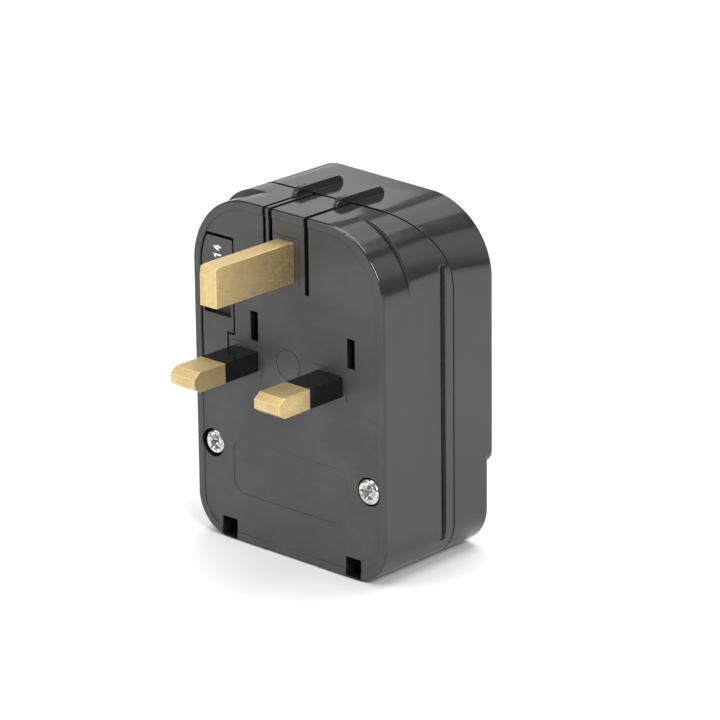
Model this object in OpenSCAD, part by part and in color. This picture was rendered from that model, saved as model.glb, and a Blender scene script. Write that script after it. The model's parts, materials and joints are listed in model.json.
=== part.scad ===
// Fused conversion plug: a hinged case that encloses a flat two-pin plug and
// carries three rectangular pins, a fuse drawer and two captive cover screws.
// X is to the right seen from the pins, Y runs into the case, Z is up.
// The origin is on the face, midway between the two lower pins.

/* [Case] */
// Width of the case
case_w = 50; // [49:0.5:58]
// Height of the case above the middle of the earth pin
crown_h = 9.5; // [9:0.1:13]
// Height of the case below the line of the lower pins
case_drop = 38.9; // [38:0.1:46]
// Depth from the face to the back
case_d = 31.4; // [31:0.1:36]
// Depth from the face to the back of the foot, below the step
foot_d = 29.9; // [29.2:0.1:30.6]
// Height of the step in the back, from the line of the lower pins
step_z = -22; // [-30:0.5:-15]
// Thickness of the walls
wall = 2.2; // [1.8:0.1:2.4]
// Thickness of the face that carries the pins
face_t = 3; // [2.8:0.1:3.2]
// Radius of the top corners at the front band
band_r = 14.5; // [12.5:0.5:16]
// Depth of the front band, as far as its ledge
band_d = 7.2; // [5:0.1:9]
// Radius of the front shell's top corners behind the band
top_r = 11; // [9:0.5:12.5]
// Radius of the rear cover's top right corner; its left one follows the front shell
cover_r = 14.5; // [12.5:0.5:16]
// Radius of the bottom corners
foot_r = 8.2; // [5:0.1:9]
// Radius along the front edge
front_edge = 0.5; // [0.3:0.1:1]
// Radius along the back edge
back_edge = 0.9; // [0.6:0.1:2.1]
// Radius of the lower corners of the raised back above the step
step_r = 3; // [2.2:0.1:5]
// Width of the rim round the sunk panel of the face
rim_w = 1.8; // [1.5:0.1:2.2]
// Height of the rim above the panel
rim_h = 0.15; // [0.1:0.05:0.3]
// Width of the shallow relief in the middle of the base
relief_w = 13.6; // [12:0.1:20]
// Depth of that relief in the base
relief_h = 0.3; // [0.1:0.05:0.5]

/* [Parting line] */
// Depth of the joint between the two shells on the sides
part_y = 19.4; // [18.6:0.1:20]
// Depth of that joint on the top
part_top_y = 12.4; // [11.8:0.1:13.2]
// Height at which the joint starts to curve forward
part_z = 16; // [14:0.5:18]
// Gap between the two shells
part_gap = 0.2; // [0.1:0.05:0.3]
// Depth of the groove along each side
groove_t = 0.8; // [0.4:0.1:1]
// Width of the groove along each side
groove_w = 1.4; // [1:0.1:2]
// Distance from the face to the middle of the groove
groove_y = 16.6; // [15.5:0.1:17.5]
// Lower end of the groove
groove_lo = -33.6; // [-34:0.1:-20]
// Upper end of the groove
groove_hi = 22.4; // [10:0.1:23]

/* [Hinge] */
// Depth of the hinge axis, which lies level with the top of the case
pivot_y = 10.3; // [9.8:0.1:10.7]
// Radius of the round ends of the ears
ear_r = 1.65; // [1.4:0.05:1.8]
// Length of an ear from the hinge axis to the middle of its back end
ear_len = 10; // [8:0.1:11]
// Thickness of an ear on the cover
ear_t = 1.05; // [0.95:0.05:1.2]
// Thickness of the tip of an ear, which reaches the hinge axis
ear_tip_t = 0.6; // [0.5:0.05:0.65]
// Thickness of the knuckle beside the tip of each ear
knuckle_t = 0.4; // [0.35:0.05:0.45]
// Gap between the tip of an ear and its knuckle
ear_gap = 0.08; // [0.05:0.01:0.1]
// Diameter of the hinge pins
hinge_d = 1.2; // [1:0.05:1.4]
// Radial clearance of the hinge pins in the ears
hinge_play = 0.05; // [0.02:0.01:0.08]
// Thickness left over the end of a hinge pin in its ear
ear_skin = 0.2; // [0.15:0.01:0.3]

/* [Pins] */
// Distance between the two lower pins
pin_pitch = 22.2; // [22:0.05:22.4]
// Height of the earth pin above the lower pins
earth_rise = 22.2; // [22:0.05:22.4]
// Width of a lower pin
pin_w = 6.4; // [6.2:0.05:6.5]
// Thickness of a lower pin
pin_t = 4; // [3.9:0.05:4.05]
// Length of the lower pins in front of the face
pin_len = 17.7; // [17.3:0.1:18.2]
// Length of the insulating sleeves in front of the face
sleeve_len = 9.2; // [8.5:0.1:9.5]
// Wall thickness of the sleeves
sleeve_t = 0.8; // [0.6:0.05:0.9]
// Depth that the sleeves reach into the face
sleeve_seat = 1.2; // [0.8:0.1:1.6]
// Width of the earth pin
earth_w = 4; // [3.9:0.05:4.05]
// Height of the earth pin's section
earth_h = 8; // [7.8:0.05:8.1]
// Length of the earth pin in front of the face
earth_len = 22.7; // [22.2:0.1:23.2]
// Length of the tapered nose of the lower pins
nose_len = 1.5; // [1:0.1:3]
// Thickness left at the tip of the lower pins
nose_t = 1.85; // [1.2:0.05:2.2]
// Width and depth of the chamfers at the sides of the earth pin's nose
earth_nose = [1.25, 1.5]; // [1:0.05:1.6]
// Length and drop of the curve along the top of the earth pin's nose
earth_top_curve = [2.9, 1.3]; // [0.8:0.1:3.2]
// Length and rise of the curve along the bottom of the earth pin's nose
earth_foot_curve = [2.3, 0.85]; // [0.5:0.05:3]
// Width of the raised frame beside and above a lower pin
frame_border = [0.8, 0.95]; // [0.6:0.05:1.2]
// Width of the raised pad beside and above the earth pin
pad_border = [1.35, 0.7]; // [0.5:0.05:1.4]

/* [Earth pin carrier] */
// Left side of the carrier
tongue_l = -3.6; // [-4:0.05:-3.45]
// Bottom of the carrier in the face
tongue_z = 16.2; // [15.5:0.1:17]
// Left side of the slot in the case
slot_l = -6.1; // [-6.2:0.05:-5.6]
// Right side of the slot in the case
slot_r = 5.75; // [5.3:0.05:6.2]
// Width of the gap to the right of the carrier, where the right ear turns
slot_gap = 1.1; // [0.8:0.05:1.3]
// Thickness of the fin in the left groove
fin_t = 0.76; // [0.5:0.02:0.9]
// Thickness of the carrier's flange behind the face
flange_t = 2; // [1.6:0.1:2.4]
// Distance from the carrier's flange to the start of the round corners
flange_side = 1.9; // [1.7:0.1:3]
// Length of the carrier's flange below its tongue
flange_drop = 2.6; // [2:0.1:3]
// Thickness of the head behind the earth pin
earth_head_t = 1.6; // [1.2:0.1:2]

/* [Fuse] */
// Length of the fuse
fuse_len = 25.4; // [25:0.1:25.8]
// Diameter of the fuse caps
fuse_d = 6.35; // [6.2:0.05:6.4]
// Length of a fuse cap
cap_len = 5.5; // [5:0.1:6]
// Step from the caps down to the ceramic body
cap_step = 0.225; // [0.1:0.025:0.4]
// Gap between the fuse and the live pin's flange
fuse_gap = 0.625; // [0.5:0.025:0.9]
// Gap between the fuse and the back of the face
fuse_clear = 0.225; // [0.1:0.025:0.5]
// Bottom of the window for the fuse drawer
window_bottom = -5.6; // [-6:0.1:-5]
// Distance from the upper fuse stop to the top of the window
window_over = 1.8; // [1.65:0.05:2.4]
// Distance from the fuse axis to the window's right side above the live pin
window_reach = 5; // [4.7:0.05:5.2]
// Gap between the fuse and the window's right side beside the live pin
window_play = 0.125; // [0.075:0.025:0.4]
// Gap between the live pin's frame and the step in the window's right side
step_gap = 0.95; // [0.6:0.05:1.4]
// Gap at the sides and below the fuse drawer
drawer_gap = 0.4; // [0.15:0.05:0.45]
// Gap above the fuse drawer
drawer_gap_top = 0.6; // [0.2:0.05:0.8]
// Thickness of the stops at the ends of the fuse
stop_t = 0.7; // [0.5:0.1:0.9]
// Gap between the cradle and the upper fuse clip
cradle_gap = 1.35; // [0.8:0.05:3.5]
// Wall thickness of the cradle
cheek_t = 0.5; // [0.4:0.05:0.6]
// Width, height and depth of the slot that a screwdriver lifts the drawer by
grip_slot = [7.1, 2.2, 1.6]; // [0.8:0.1:7.2]
// Middle height of that slot above the middle of the fuse
grip_slot_rise = 0; // [-0.5:0.1:3.5]
// Thickness of the drawer's front plate
drawer_t = 2.2; // [1.8:0.1:2.4]
// Sheet thickness of the fuse clips and links
sheet_t = 0.4; // [0.3:0.05:0.5]
// Width of a fuse clip
clip_w = 4; // [3:0.1:4.4]
// Gap between fuse cap and clip
clip_gap = 0.12; // [0.08:0.01:0.2]
// Gap between the fuse and the flat part of the clips and links
link_gap = 0.725; // [0.5:0.025:0.9]

/* [Socket for the enclosed plug] */
// Distance between the enclosed plug's pins
socket_pitch = 18.6; // [18:0.1:19]
// Thickness of the enclosed plug
plug_t = 13.7; // [13.5:0.1:14]
// Gap between the enclosed plug and the insulating plate
plug_play = 0.25; // [0.1:0.05:0.35]
// Inner diameter of the contact tubes
contact_bore = 4.2; // [4.1:0.05:4.4]
// Wall thickness of the contact tubes
contact_t = 0.6; // [0.5:0.05:0.8]
// Length of the contact tubes
contact_len = 14; // [12:0.5:15]
// Height of the lower end of the contact tubes
contact_z = 2.6; // [2.2:0.1:3.2]
// Slit in the contact tubes
contact_slit = 0.8; // [0.5:0.1:1.2]
// Thickness of the insulating plate
plate_t = 1.4; // [1.2:0.1:1.6]
// Gap between the rivets and the insulating plate
plate_gap = 0.5; // [0.3:0.1:0.7]
// Wall of the contact block beside the tubes
block_side = 3.5; // [2.5:0.1:4.5]
// Wall of the contact block below the tubes
block_floor = 1.8; // [1.4:0.1:2.2]
// Length of the contact block above the tubes
block_over = 3.9; // [2:0.1:4.5]
// Wall of the contact block behind the tubes
block_wall = 2; // [1.6:0.1:2.4]
// Diameter of the cable outlet in the base
outlet_d = 9; // [7:0.5:12]

/* [Screws] */
// Thickness of plastic between a screw hole and the case's side
screw_skin = 1.4; // [1.2:0.05:1.7]
// Height of the cover screws
screw_z = -19.8; // [-22:0.1:-17]
// Thread diameter of the cover screws
screw_d = 3; // [2.8:0.1:3.1]
// Diameter of the screw heads
head_d = 5.4; // [5.2:0.1:5.5]
// Thickness of the screw heads
head_t = 1.8; // [1.6:0.1:2]
// Length of the cover screws under the head
screw_len = 17; // [16.5:0.1:17.4]
// Gap round the screw heads in the face
head_play = 0.2; // [0.15:0.05:0.25]
// Depth of the screw holes in the face
hole_depth = 7.2; // [6.8:0.1:7.4]
// Thickness of the web that the screws pass
web_t = 1.6; // [1.2:0.1:1.8]
// Radial clearance of the screws in their webs and inserts
screw_play = 0.06; // [0.03:0.01:0.1]
// Front of the left head behind the face as stored
left_head_y = 0.3; // [0:0.05:0.6]
// Front of the right head behind the face as stored, negative in front of it
right_head_y = -0.5; // [-0.6:0.05:0]
// Width of the retaining rings round the screws
ring_w = 0.7; // [0.6:0.05:0.75]
// Thickness of the retaining rings
ring_t = 0.6; // [0.5:0.05:0.8]
// Width of the wall of the brass inserts, thread play included
insert_w = 0.7; // [0.6:0.05:0.75]
// Length of the brass inserts
insert_len = 6; // [5:0.1:6.4]
// Thread diameter of the three plate screws
plate_screw_d = 2.2; // [2:0.1:2.4]

// Width, length and depth of a wing of the cross recess
recess_size = [0.9, 3.3, 1.3]; // [0.8:0.1:3.6]
// Angle that the cross recesses are turned by
recess_turn = 25; // [0:5:85]

/* [Face details] */
// Width and height of the two upright slots in the face
core_slot = [2, 6]; // [1:0.1:8]
// Distance of each upright slot's middle from the pin line: left, right
core_slot_x = [-8.9, 16.4]; // [-10:0.1:18]
// Middle height of the upright slots
core_slot_z = 7; // [6.5:0.1:7.5]
// Width and height of the two notches at the base
notch_size = [4, 4]; // [3:0.1:4.2]
// Distance between the notches' middles
notch_pitch = 33; // [31:0.5:34]
// Height of the lip below a notch
notch_lip = 0.4; // [0.3:0.05:0.8]
// Width and height of the sunk label field
label_size = [30.5, 11.5]; // [8:0.5:32]
// Middle height of the label field
label_z = -22.85; // [-24:0.05:-21]
// Depth of the label field
label_t = 0.1; // [0.05:0.01:0.2]
// Radius of the label field's corners
label_r = 3; // [1:0.5:4]
// Radius of the moulded ring on the face
ring_mark_r = 3.15; // [2.5:0.05:3.5]
// Height of the moulded ring's middle above the pin line
ring_mark_z = 1.1; // [0.5:0.1:1.6]
// Width and depth of the moulded ring
ring_mark = [0.2, 0.1]; // [0.05:0.05:0.4]

/* [Hidden] */
$fn = 64;
eps = 0.01;
far = 60;
fit_gap = 0.1;
seat_gap = 0.05;

case_rise = earth_rise + crown_h;
case_half = case_w / 2;
cavity_half = case_half - wall;
floor_z = -case_drop + wall;
ceiling_z = case_rise - wall;
cover_back_low = foot_d - wall;
cover_back = case_d - wall;
part_fall = part_y - part_top_y;
part_r = (pow(part_fall, 2) + pow(case_rise - part_z, 2)) / (2 * part_fall);
rim_drop = 0.1;

tongue_r = slot_r - slot_gap;
pivot_z = case_rise;
ear_x = [slot_l + ear_gap + ear_tip_t, tongue_r + ear_gap + ear_tip_t];
ear_front = part_top_y + part_gap;
ear_root = 0.5;
knuckle_r = part_top_y - pivot_y;
knuckle_root = 0.3;
web_gap = 0.6;

pin_x = pin_pitch / 2;
pin_flange = [pin_w + 2, pin_t + 2, 1.6];
frame_size = [pin_w + 2 * frame_border.x, pin_t + 2 * frame_border.y];
pad_size = [earth_w + 2 * pad_border.x, earth_h + 2 * pad_border.y];
stud_d = 2.6;
rivet_d = 4;
rivet_t = 0.6;
tab_stud_d = 0.6 * stud_d;
tab_rivet_d = 0.6 * rivet_d;

flange_back = face_t + flange_t;
flange_half = case_half - band_r - flange_side;
earth_head_half = [earth_w / 2 + 1.2, earth_h / 2 + 1];
flange_under = earth_rise + earth_head_half.y + 0.3;
flange_end = part_top_y - 0.4;
fin_x = ear_x[0] + ear_gap + fin_t / 2;

fuse_x = -pin_x - pin_flange.x / 2 - fuse_gap - fuse_d / 2;
fuse_y = face_t + fuse_clear + fuse_d / 2;
fuse_body_d = fuse_d - 2 * cap_step;
fuse_end_gap = 0.15;
fuse_mid_z = window_bottom + drawer_gap + stop_t + fuse_end_gap + fuse_len / 2;
stop_z = (fuse_len + stop_t) / 2 + fuse_end_gap;
stop_half = 1.5;
cap_z = (fuse_len - cap_len) / 2;
window_top = fuse_mid_z + stop_z + stop_t / 2 + window_over;
window_r = fuse_x + window_reach;
window_low_r = fuse_x + fuse_d / 2 + window_play;
window_step = frame_size.y / 2 + step_gap;
window_inset = rim_w + 0.1;
clip_half = fuse_d / 2 + clip_gap;
clip_front = fuse_y - 1.5;
clip_top = fuse_mid_z + cap_z + clip_w / 2;
cradle_r = fuse_d / 2 + fit_gap;
cradle_lo = window_step + drawer_gap + 0.15;
cradle_hi = clip_top - clip_w - cradle_gap;
cradle_back = fuse_y + 1.4;
pocket_gap = 0.3;

link_y = fuse_y + fuse_d / 2 + link_gap;
plate_y = link_y + sheet_t + rivet_t + plate_gap;
plate_back = plate_y + plate_t;
socket_y = plate_back + plug_play + plug_t / 2;
socket_x = socket_pitch / 2;
contact_d = contact_bore + 2 * contact_t;
tab_w = 2.4;
tab_h = 4;
tab_z = contact_z + contact_len - tab_h / 2;
block_half = socket_x + contact_d / 2 + block_side;
block_lo = contact_z - block_floor;
block_hi = contact_z + contact_len + block_over;
block_back = socket_y + contact_d / 2 + block_wall;
entry_d = contact_bore + 0.6;
guide_x = 12;
guide_size = [1, 0.5];

hole_d = head_d + 2 * head_play;
screw_x = case_half - hole_d / 2 - screw_skin;
boss_front_r = hole_d / 2 + screw_skin - fit_gap;
ring_d = screw_d + 2 * ring_w;
ring_bore = ring_d + 0.4;
boss_back_r = ring_bore / 2 + 0.8;
web_back = hole_depth + web_t;
ring_y = web_back + fit_gap - right_head_y;
insert_d = screw_d + 2 * insert_w;
insert_lead = insert_d + 0.2;
insert_y = part_y + part_gap + 0.4;
head_edge_r = 0.9;
tip_t = 1;

plate_head = [plate_screw_d + 2, 1.2];
plate_screw_len = 7;
plate_screw_blind = 1.5;
plate_screw_at = [
    [-12.2, (clip_top + ceiling_z) / 2],
    [cavity_half - 5.4, ceiling_z - 7.6],
    [0, floor_z + 8.7]
];
post_r = plate_head.x / 2 + 0.7;
pad_y = plate_y - plate_head.y;
plate_edge = 0.3;
plate_top = flange_under - 0.4;
rib_x = 9;
rib_t = 1.2;
rib_top = -8;

// Frames of reference for flat outlines

// Extrudes an XZ outline from y0 to y1
module along_y(y0, y1)
    translate([0, y1, 0]) rotate([90, 0, 0]) linear_extrude(y1 - y0) children();

// Extrudes a YZ outline from x0 to x1
module along_x(x0, x1)
    translate([x0, 0, 0]) rotate([90, 0, 90]) linear_extrude(x1 - x0) children();

// A box between two opposite corners
module box(lo, hi)
    translate(lo) cube([hi.x - lo.x, hi.y - lo.y, hi.z - lo.z]);

// A flat rectangle between two opposite corners
module plane_box(lo, hi)
    translate(lo) square([hi.x - lo.x, hi.y - lo.y]);

// A cylinder along Y from y0 to y1
module rod_y(d, y0, y1)
    translate([0, y0, 0]) rotate([-90, 0, 0]) cylinder(d = d, h = y1 - y0);

// Outline of the case seen from the front, shrunk by inset
module case_outline(r_top, inset = 0) {
    half = case_half - inset;
    hi = case_rise - inset;
    lo = -case_drop + inset;
    rt = r_top - inset;
    rf = foot_r - inset;
    union() {
        plane_box([-half, lo + rf], [half, hi - rt]);
        plane_box([-half + rt, 0], [half - rt, hi]);
        plane_box([-half + rf, lo], [half - rf, 0]);
        for (side = [-1, 1]) {
            translate([side * (half - rt), hi - rt]) circle(rt);
            translate([side * (half - rf), lo + rf]) circle(rf);
        }
    }
}

// Half section of an edge: u runs outward to len, v runs in depth from y0 to y1
module edge_section(len, y0, y1, front_r, back_r) {
    middle = (y0 + y1) / 2;
    intersection() {
        union() {
            plane_box([0, y0 + front_r], [len, y1 - back_r]);
            plane_box([0, y0], [len - front_r, middle]);
            plane_box([0, middle], [len - back_r, y1]);
            if (front_r > 0) translate([len - front_r, y0 + front_r]) circle(front_r);
            if (back_r > 0) translate([len - back_r, y1 - back_r]) circle(back_r);
        }
        plane_box([0, y0], [len, y1]);
    }
}

// A slab with round corners and a rounded front or back edge
module rounded_slab(lo, hi, r_lo, r_hi, y0, y1, front_r, back_r) {
    union() {
        for (side = [-1, 1]) {
            translate([side * (case_half - r_hi), 0, hi - r_hi]) edge_disc(r_hi, y0, y1, front_r, back_r);
            translate([side * (case_half - r_lo), 0, lo + r_lo]) edge_disc(r_lo, y0, y1, front_r, back_r);
        }
        mid = (lo + hi) / 2;
        translate([case_half - r_hi, 0, mid]) rotate([0, -90, 0])
            linear_extrude(2 * (case_half - r_hi)) edge_section(hi - mid, y0, y1, front_r, back_r);
        mirror([0, 0, 1]) translate([case_half - r_lo, 0, -mid]) rotate([0, -90, 0])
            linear_extrude(2 * (case_half - r_lo)) edge_section(mid - lo, y0, y1, front_r, back_r);
        for (flip = [0, 1]) mirror([flip, 0, 0]) translate([0, 0, lo + r_lo])
            linear_extrude(hi - r_hi - lo - r_lo) edge_section(case_half, y0, y1, front_r, back_r);
    }
}

module edge_disc(r, y0, y1, front_r, back_r)
    rotate([-90, 0, 0]) rotate_extrude() edge_section(r, y0, y1, front_r, back_r);

// Side view of everything in front of the joint between the shells
module front_profile(grow = 0) {
    union() {
        plane_box([-far, -far], [part_y + grow, part_z]);
        plane_box([-far, -far], [max(part_y - part_r, -far + 1), far]);
        intersection() {
            translate([part_y - part_r, part_z]) circle(part_r + grow, $fn = 128);
            plane_box([part_y - part_r, part_z], [far, far]);
        }
    }
}

// Outer form of the front shell, solid, with the sunk panel
module front_form() {
    difference() {
        intersection() {
            union() {
                rounded_slab(-case_drop, case_rise, foot_r, band_r, -rim_h, band_d, front_edge, 0);
                along_y(band_d, part_y) case_outline(top_r);
            }
            along_x(-case_half - 1, case_half + 1) front_profile();
        }
        along_y(-rim_h - 1, 0) case_outline(band_r, rim_w);
    }
}

// Window of the fuse drawer, seen from the front, shrunk for the drawer itself
module window_outline(shrink = 0, shrink_top = 0) {
    intersection() {
        case_outline(band_r, window_inset + shrink);
        union() {
            plane_box([-case_half, window_step + shrink], [window_r - shrink, window_top - shrink_top]);
            plane_box([-case_half, window_bottom + shrink], [window_low_r - shrink, window_step + 1 - shrink]);
        }
    }
}

// Side view of a knuckle: round about the hinge axis, cut flat level with the ears
module knuckle_profile() {
    intersection() {
        translate([pivot_y, pivot_z]) circle(knuckle_r);
        union() {
            translate([pivot_y, pivot_z]) circle(ear_r);
            plane_box([pivot_y, case_rise - knuckle_root], [far, pivot_z + ear_r]);
        }
    }
}

module ear_profile() {
    translate([pivot_y, pivot_z]) circle(ear_r);
    translate([pivot_y + ear_len, pivot_z]) circle(ear_r);
    plane_box([pivot_y, pivot_z - ear_r], [pivot_y + ear_len, pivot_z + ear_r]);
}

// Side view of the thick part of an ear, which clears its knuckle
module ear_body_profile() {
    difference() {
        intersection() {
            ear_profile();
            union() {
                plane_box([pivot_y, case_rise], [far, far]);
                plane_box([ear_front + web_gap, case_rise - ear_root], [far, far]);
            }
        }
        translate([pivot_y, pivot_z]) circle(knuckle_r + part_gap);
    }
}

// The left face of the knuckle beside the ear whose right face is at x
function knuckle_left(x) = x - ear_tip_t - ear_gap - knuckle_t;

module knuckle(x)
    along_x(knuckle_left(x), knuckle_left(x) + knuckle_t) knuckle_profile();

module hinge_hole(x)
    translate([knuckle_left(x) - seat_gap, pivot_y, pivot_z]) rotate([0, 90, 0])
        cylinder(d = hinge_d, h = knuckle_t + seat_gap + ear_gap / 2);

module front_housing() {
    color([0.16, 0.16, 0.17]) difference() {
        union() {
            difference() {
                front_form();
                along_y(face_t, far) case_outline(band_r, wall);
            }
            for (side = [-1, 1]) translate([side * screw_x, 0, screw_z]) cover_screw_boss();
            for (at = plate_screw_at) translate([at.x, 0, at.y])
                rod_y(2 * post_r, face_t - eps, pad_y);
            // Two ribs behind the label field carry the insulating plate
            for (side = [-1, 1])
                box([side * rib_x - rib_t / 2, face_t - eps, floor_z - eps],
                    [side * rib_x + rib_t / 2, plate_y - seat_gap, rib_top]);
            knuckle(ear_x[0]);
        }
        // Side grooves
        for (flip = [0, 1]) mirror([flip, 0, 0])
            box([case_half - groove_t, groove_y - groove_w / 2, groove_lo],
                [case_half + 1, groove_y + groove_w / 2, groove_hi]);
        // Slot for the earth pin carrier, in the face and along the top
        box([slot_l, -1, tongue_z], [slot_r, face_t + eps, case_rise + 1]);
        box([slot_l, -1, ceiling_z - eps], [slot_r, far, case_rise + 1]);
        // Window for the fuse drawer, and a pocket in the side wall for fuse and clips
        along_y(-1, face_t + eps) window_outline();
        box([fuse_x - clip_half - sheet_t - pocket_gap, face_t, fuse_mid_z - fuse_len / 2 - pocket_gap],
            [fuse_x, plate_y, fuse_mid_z + fuse_len / 2 + pocket_gap]);
        // Seats of the two lower pins and their sleeves
        for (side = [-1, 1]) {
            box([side * pin_x - pin_w / 2, -1, -pin_t / 2], [side * pin_x + pin_w / 2, sleeve_seat, pin_t / 2]);
            box([side * pin_x - pin_w / 2 + sleeve_t, 0, -pin_t / 2 + sleeve_t],
                [side * pin_x + pin_w / 2 - sleeve_t, face_t + 1, pin_t / 2 - sleeve_t]);
        }
        // Upright slots and base notches
        for (x = core_slot_x)
            box([x - core_slot.x / 2, -1, core_slot_z - core_slot.y / 2],
                [x + core_slot.x / 2, face_t + 1, core_slot_z + core_slot.y / 2]);
        for (side = [-1, 1])
            box([side * notch_pitch / 2 - notch_size.x / 2, -1, -case_drop + notch_lip],
                [side * notch_pitch / 2 + notch_size.x / 2, face_t + 1, -case_drop + notch_lip + notch_size.y]);
        // Relief in the middle of the base and of the rim's face above it
        box([-relief_w / 2, -1, -case_drop - 1], [relief_w / 2, far, -case_drop + relief_h]);
        box([-relief_w / 2, -1, -case_drop - 1], [relief_w / 2, -rim_h + rim_drop, -case_drop + rim_w + eps]);
        // Label field and moulded ring
        along_y(-1, label_t) translate([0, label_z]) round_rect(label_size, label_r);
        translate([0, 0, ring_mark_z]) difference() {
            rod_y(2 * ring_mark_r, -1, ring_mark.y);
            rod_y(2 * ring_mark_r - 2 * ring_mark.x, -2, 1);
        }
        // Cover screw holes, plate screw holes, hinge pin hole and cable outlet
        for (side = [-1, 1]) translate([side * screw_x, 0, screw_z]) cover_screw_hole();
        for (at = plate_screw_at) translate([at.x, 0, at.y])
            rod_y(plate_screw_d, face_t + plate_screw_blind, far);
        hinge_hole(ear_x[0]);
        translate([0, socket_y, -case_drop - 1]) cylinder(d = outlet_d, h = wall + 2);
    }
    // Raised frames round the two lower pins
    color([0.16, 0.16, 0.17]) for (side = [-1, 1]) difference() {
        along_y(-rim_h, 0) translate([side * pin_x, 0]) square(frame_size, center = true);
        along_y(-1, 1) translate([side * pin_x, 0]) square([pin_w, pin_t], center = true);
    }
}

module round_rect(size, r) {
    union() {
        square([size.x - 2 * r, size.y], center = true);
        square([size.x, size.y - 2 * r], center = true);
        for (sx = [-1, 1], sy = [-1, 1])
            translate([sx * (size.x / 2 - r), sy * (size.y / 2 - r)]) circle(r);
    }
}

// Boss behind the face for a captive cover screw
module cover_screw_boss() {
    rod_y(2 * boss_front_r, face_t - eps, web_back + 1);
    rod_y(2 * boss_back_r, web_back, part_y);
}

module cover_screw_hole() {
    rod_y(hole_d, -1, hole_depth);
    rod_y(screw_d + 2 * screw_play, 0, far);
    rod_y(ring_bore, web_back, far);
}

// Shell of the rear cover between x0 and x1, with this radius at its top corner
module cover_half(r_top, x0, x1) {
    intersection() {
        difference() {
            union() {
                rounded_slab(-case_drop, case_rise, foot_r, r_top, part_top_y - 2, foot_d, 0, back_edge);
                rounded_slab(step_z, case_rise, step_r, r_top, part_top_y - 2, case_d, 0, back_edge);
            }
            along_y(0, cover_back_low) case_outline(r_top, wall);
            intersection() {
                along_y(0, cover_back) case_outline(r_top, wall);
                box([-far, 0, step_z + wall], [far, far, far]);
            }
        }
        box([x0, 0, -far], [x1, far, far]);
    }
}

module rear_cover() {
    color([0.16, 0.16, 0.17]) difference() {
        union() {
            cover_half(top_r, -far, 0);
            cover_half(cover_r, 0, far);
            // Bosses for the threaded inserts and ribs that locate the plug
            for (side = [-1, 1]) translate([side * screw_x, 0, screw_z])
                rod_y(2 * boss_back_r, part_y, cover_back_low + eps);
            for (side = [-1, 1])
                box([side * guide_x - guide_size.x / 2, cover_back_low - guide_size.y, floor_z - eps],
                    [side * guide_x + guide_size.x / 2, cover_back_low + eps, step_z]);
        }
        along_x(-case_half - 1, case_half + 1) front_profile(part_gap);
        for (side = [-1, 1]) translate([side * screw_x, 0, screw_z]) {
            rod_y(insert_d, insert_y, insert_y + insert_len);
            rod_y(insert_lead, 0, insert_y + eps);
        }
        box([-relief_w / 2, 0, -case_drop - 1], [relief_w / 2, far, -case_drop + relief_h]);
        translate([0, socket_y, -case_drop - 1]) cylinder(d = outlet_d, h = wall + 2);
    }
    color([0.16, 0.16, 0.17]) for (x = ear_x) hinge_ear(x);
}

// A hinge ear whose right face is at x, rooted in the cover's top
module hinge_ear(x) {
    difference() {
        union() {
            along_x(x - ear_t, x) ear_body_profile();
            along_x(x - ear_tip_t, x) ear_profile();
        }
        translate([x - ear_tip_t - 1, pivot_y, pivot_z]) rotate([0, 90, 0])
            cylinder(d = hinge_d + 2 * hinge_play, h = ear_tip_t + 1 - ear_skin);
    }
}

module hinge_pins() {
    color([0.72, 0.72, 0.7]) for (x = ear_x)
        translate([knuckle_left(x), pivot_y, pivot_z]) rotate([0, 90, 0])
            cylinder(d = hinge_d, h = knuckle_t + ear_gap + ear_tip_t - ear_skin - seat_gap);
}

module earth_pin_carrier() {
    color([0.15, 0.15, 0.16]) difference() {
        union() {
            // Tongue and fin, in the face and along the top
            difference() {
                intersection() {
                    front_form();
                    union() {
                        box([tongue_l, -1, tongue_z], [tongue_r, part_y, case_rise + 1]);
                        box([fin_x - fin_t / 2, -1, tongue_z], [fin_x + fin_t / 2, part_y, case_rise + 1]);
                    }
                }
                box([-far, flange_back, 0], [far, far, flange_under]);
            }
            // Flange behind the face and under the top
            box([-flange_half, face_t, tongue_z - flange_drop], [flange_half, flange_back, ceiling_z]);
            box([-flange_half, face_t, flange_under], [flange_half, flange_end, ceiling_z]);
            // Pad round the earth pin
            along_y(-rim_h, eps) translate([0, earth_rise]) square(pad_size, center = true);
            knuckle(ear_x[1]);
        }
        box([-earth_w / 2, -1, earth_rise - earth_h / 2], [earth_w / 2, far, earth_rise + earth_h / 2]);
        hinge_hole(ear_x[1]);
    }
}

// Side view of a blade whose upper edge curves down to its tip
module curved_nose(curve) {
    r = (pow(curve.x, 2) + pow(curve.y, 2)) / (2 * curve.y);
    start = curve.x - earth_len;
    union() {
        plane_box([start, -far], [1, earth_h / 2]);
        plane_box([-earth_len, -far], [1, earth_h / 2 - r]);
        translate([start, earth_h / 2 - r]) circle(r);
    }
}

// The earth pin's blade: chamfered sides, rounded top and bottom
module earth_blade() {
    intersection() {
        box([-earth_w / 2, -earth_len, -earth_h / 2], [earth_w / 2, 0, earth_h / 2]);
        along_x(-earth_w / 2, earth_w / 2) curved_nose(earth_top_curve);
        along_x(-earth_w / 2, earth_w / 2) mirror([0, 1]) curved_nose(earth_foot_curve);
        translate([0, 0, -earth_h / 2]) linear_extrude(earth_h) polygon([
            [earth_w / 2, 1], [earth_w / 2, earth_nose.y - earth_len], [earth_w / 2 - earth_nose.x, -earth_len],
            [earth_nose.x - earth_w / 2, -earth_len], [-earth_w / 2, earth_nose.y - earth_len], [-earth_w / 2, 1]]);
    }
}

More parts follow.
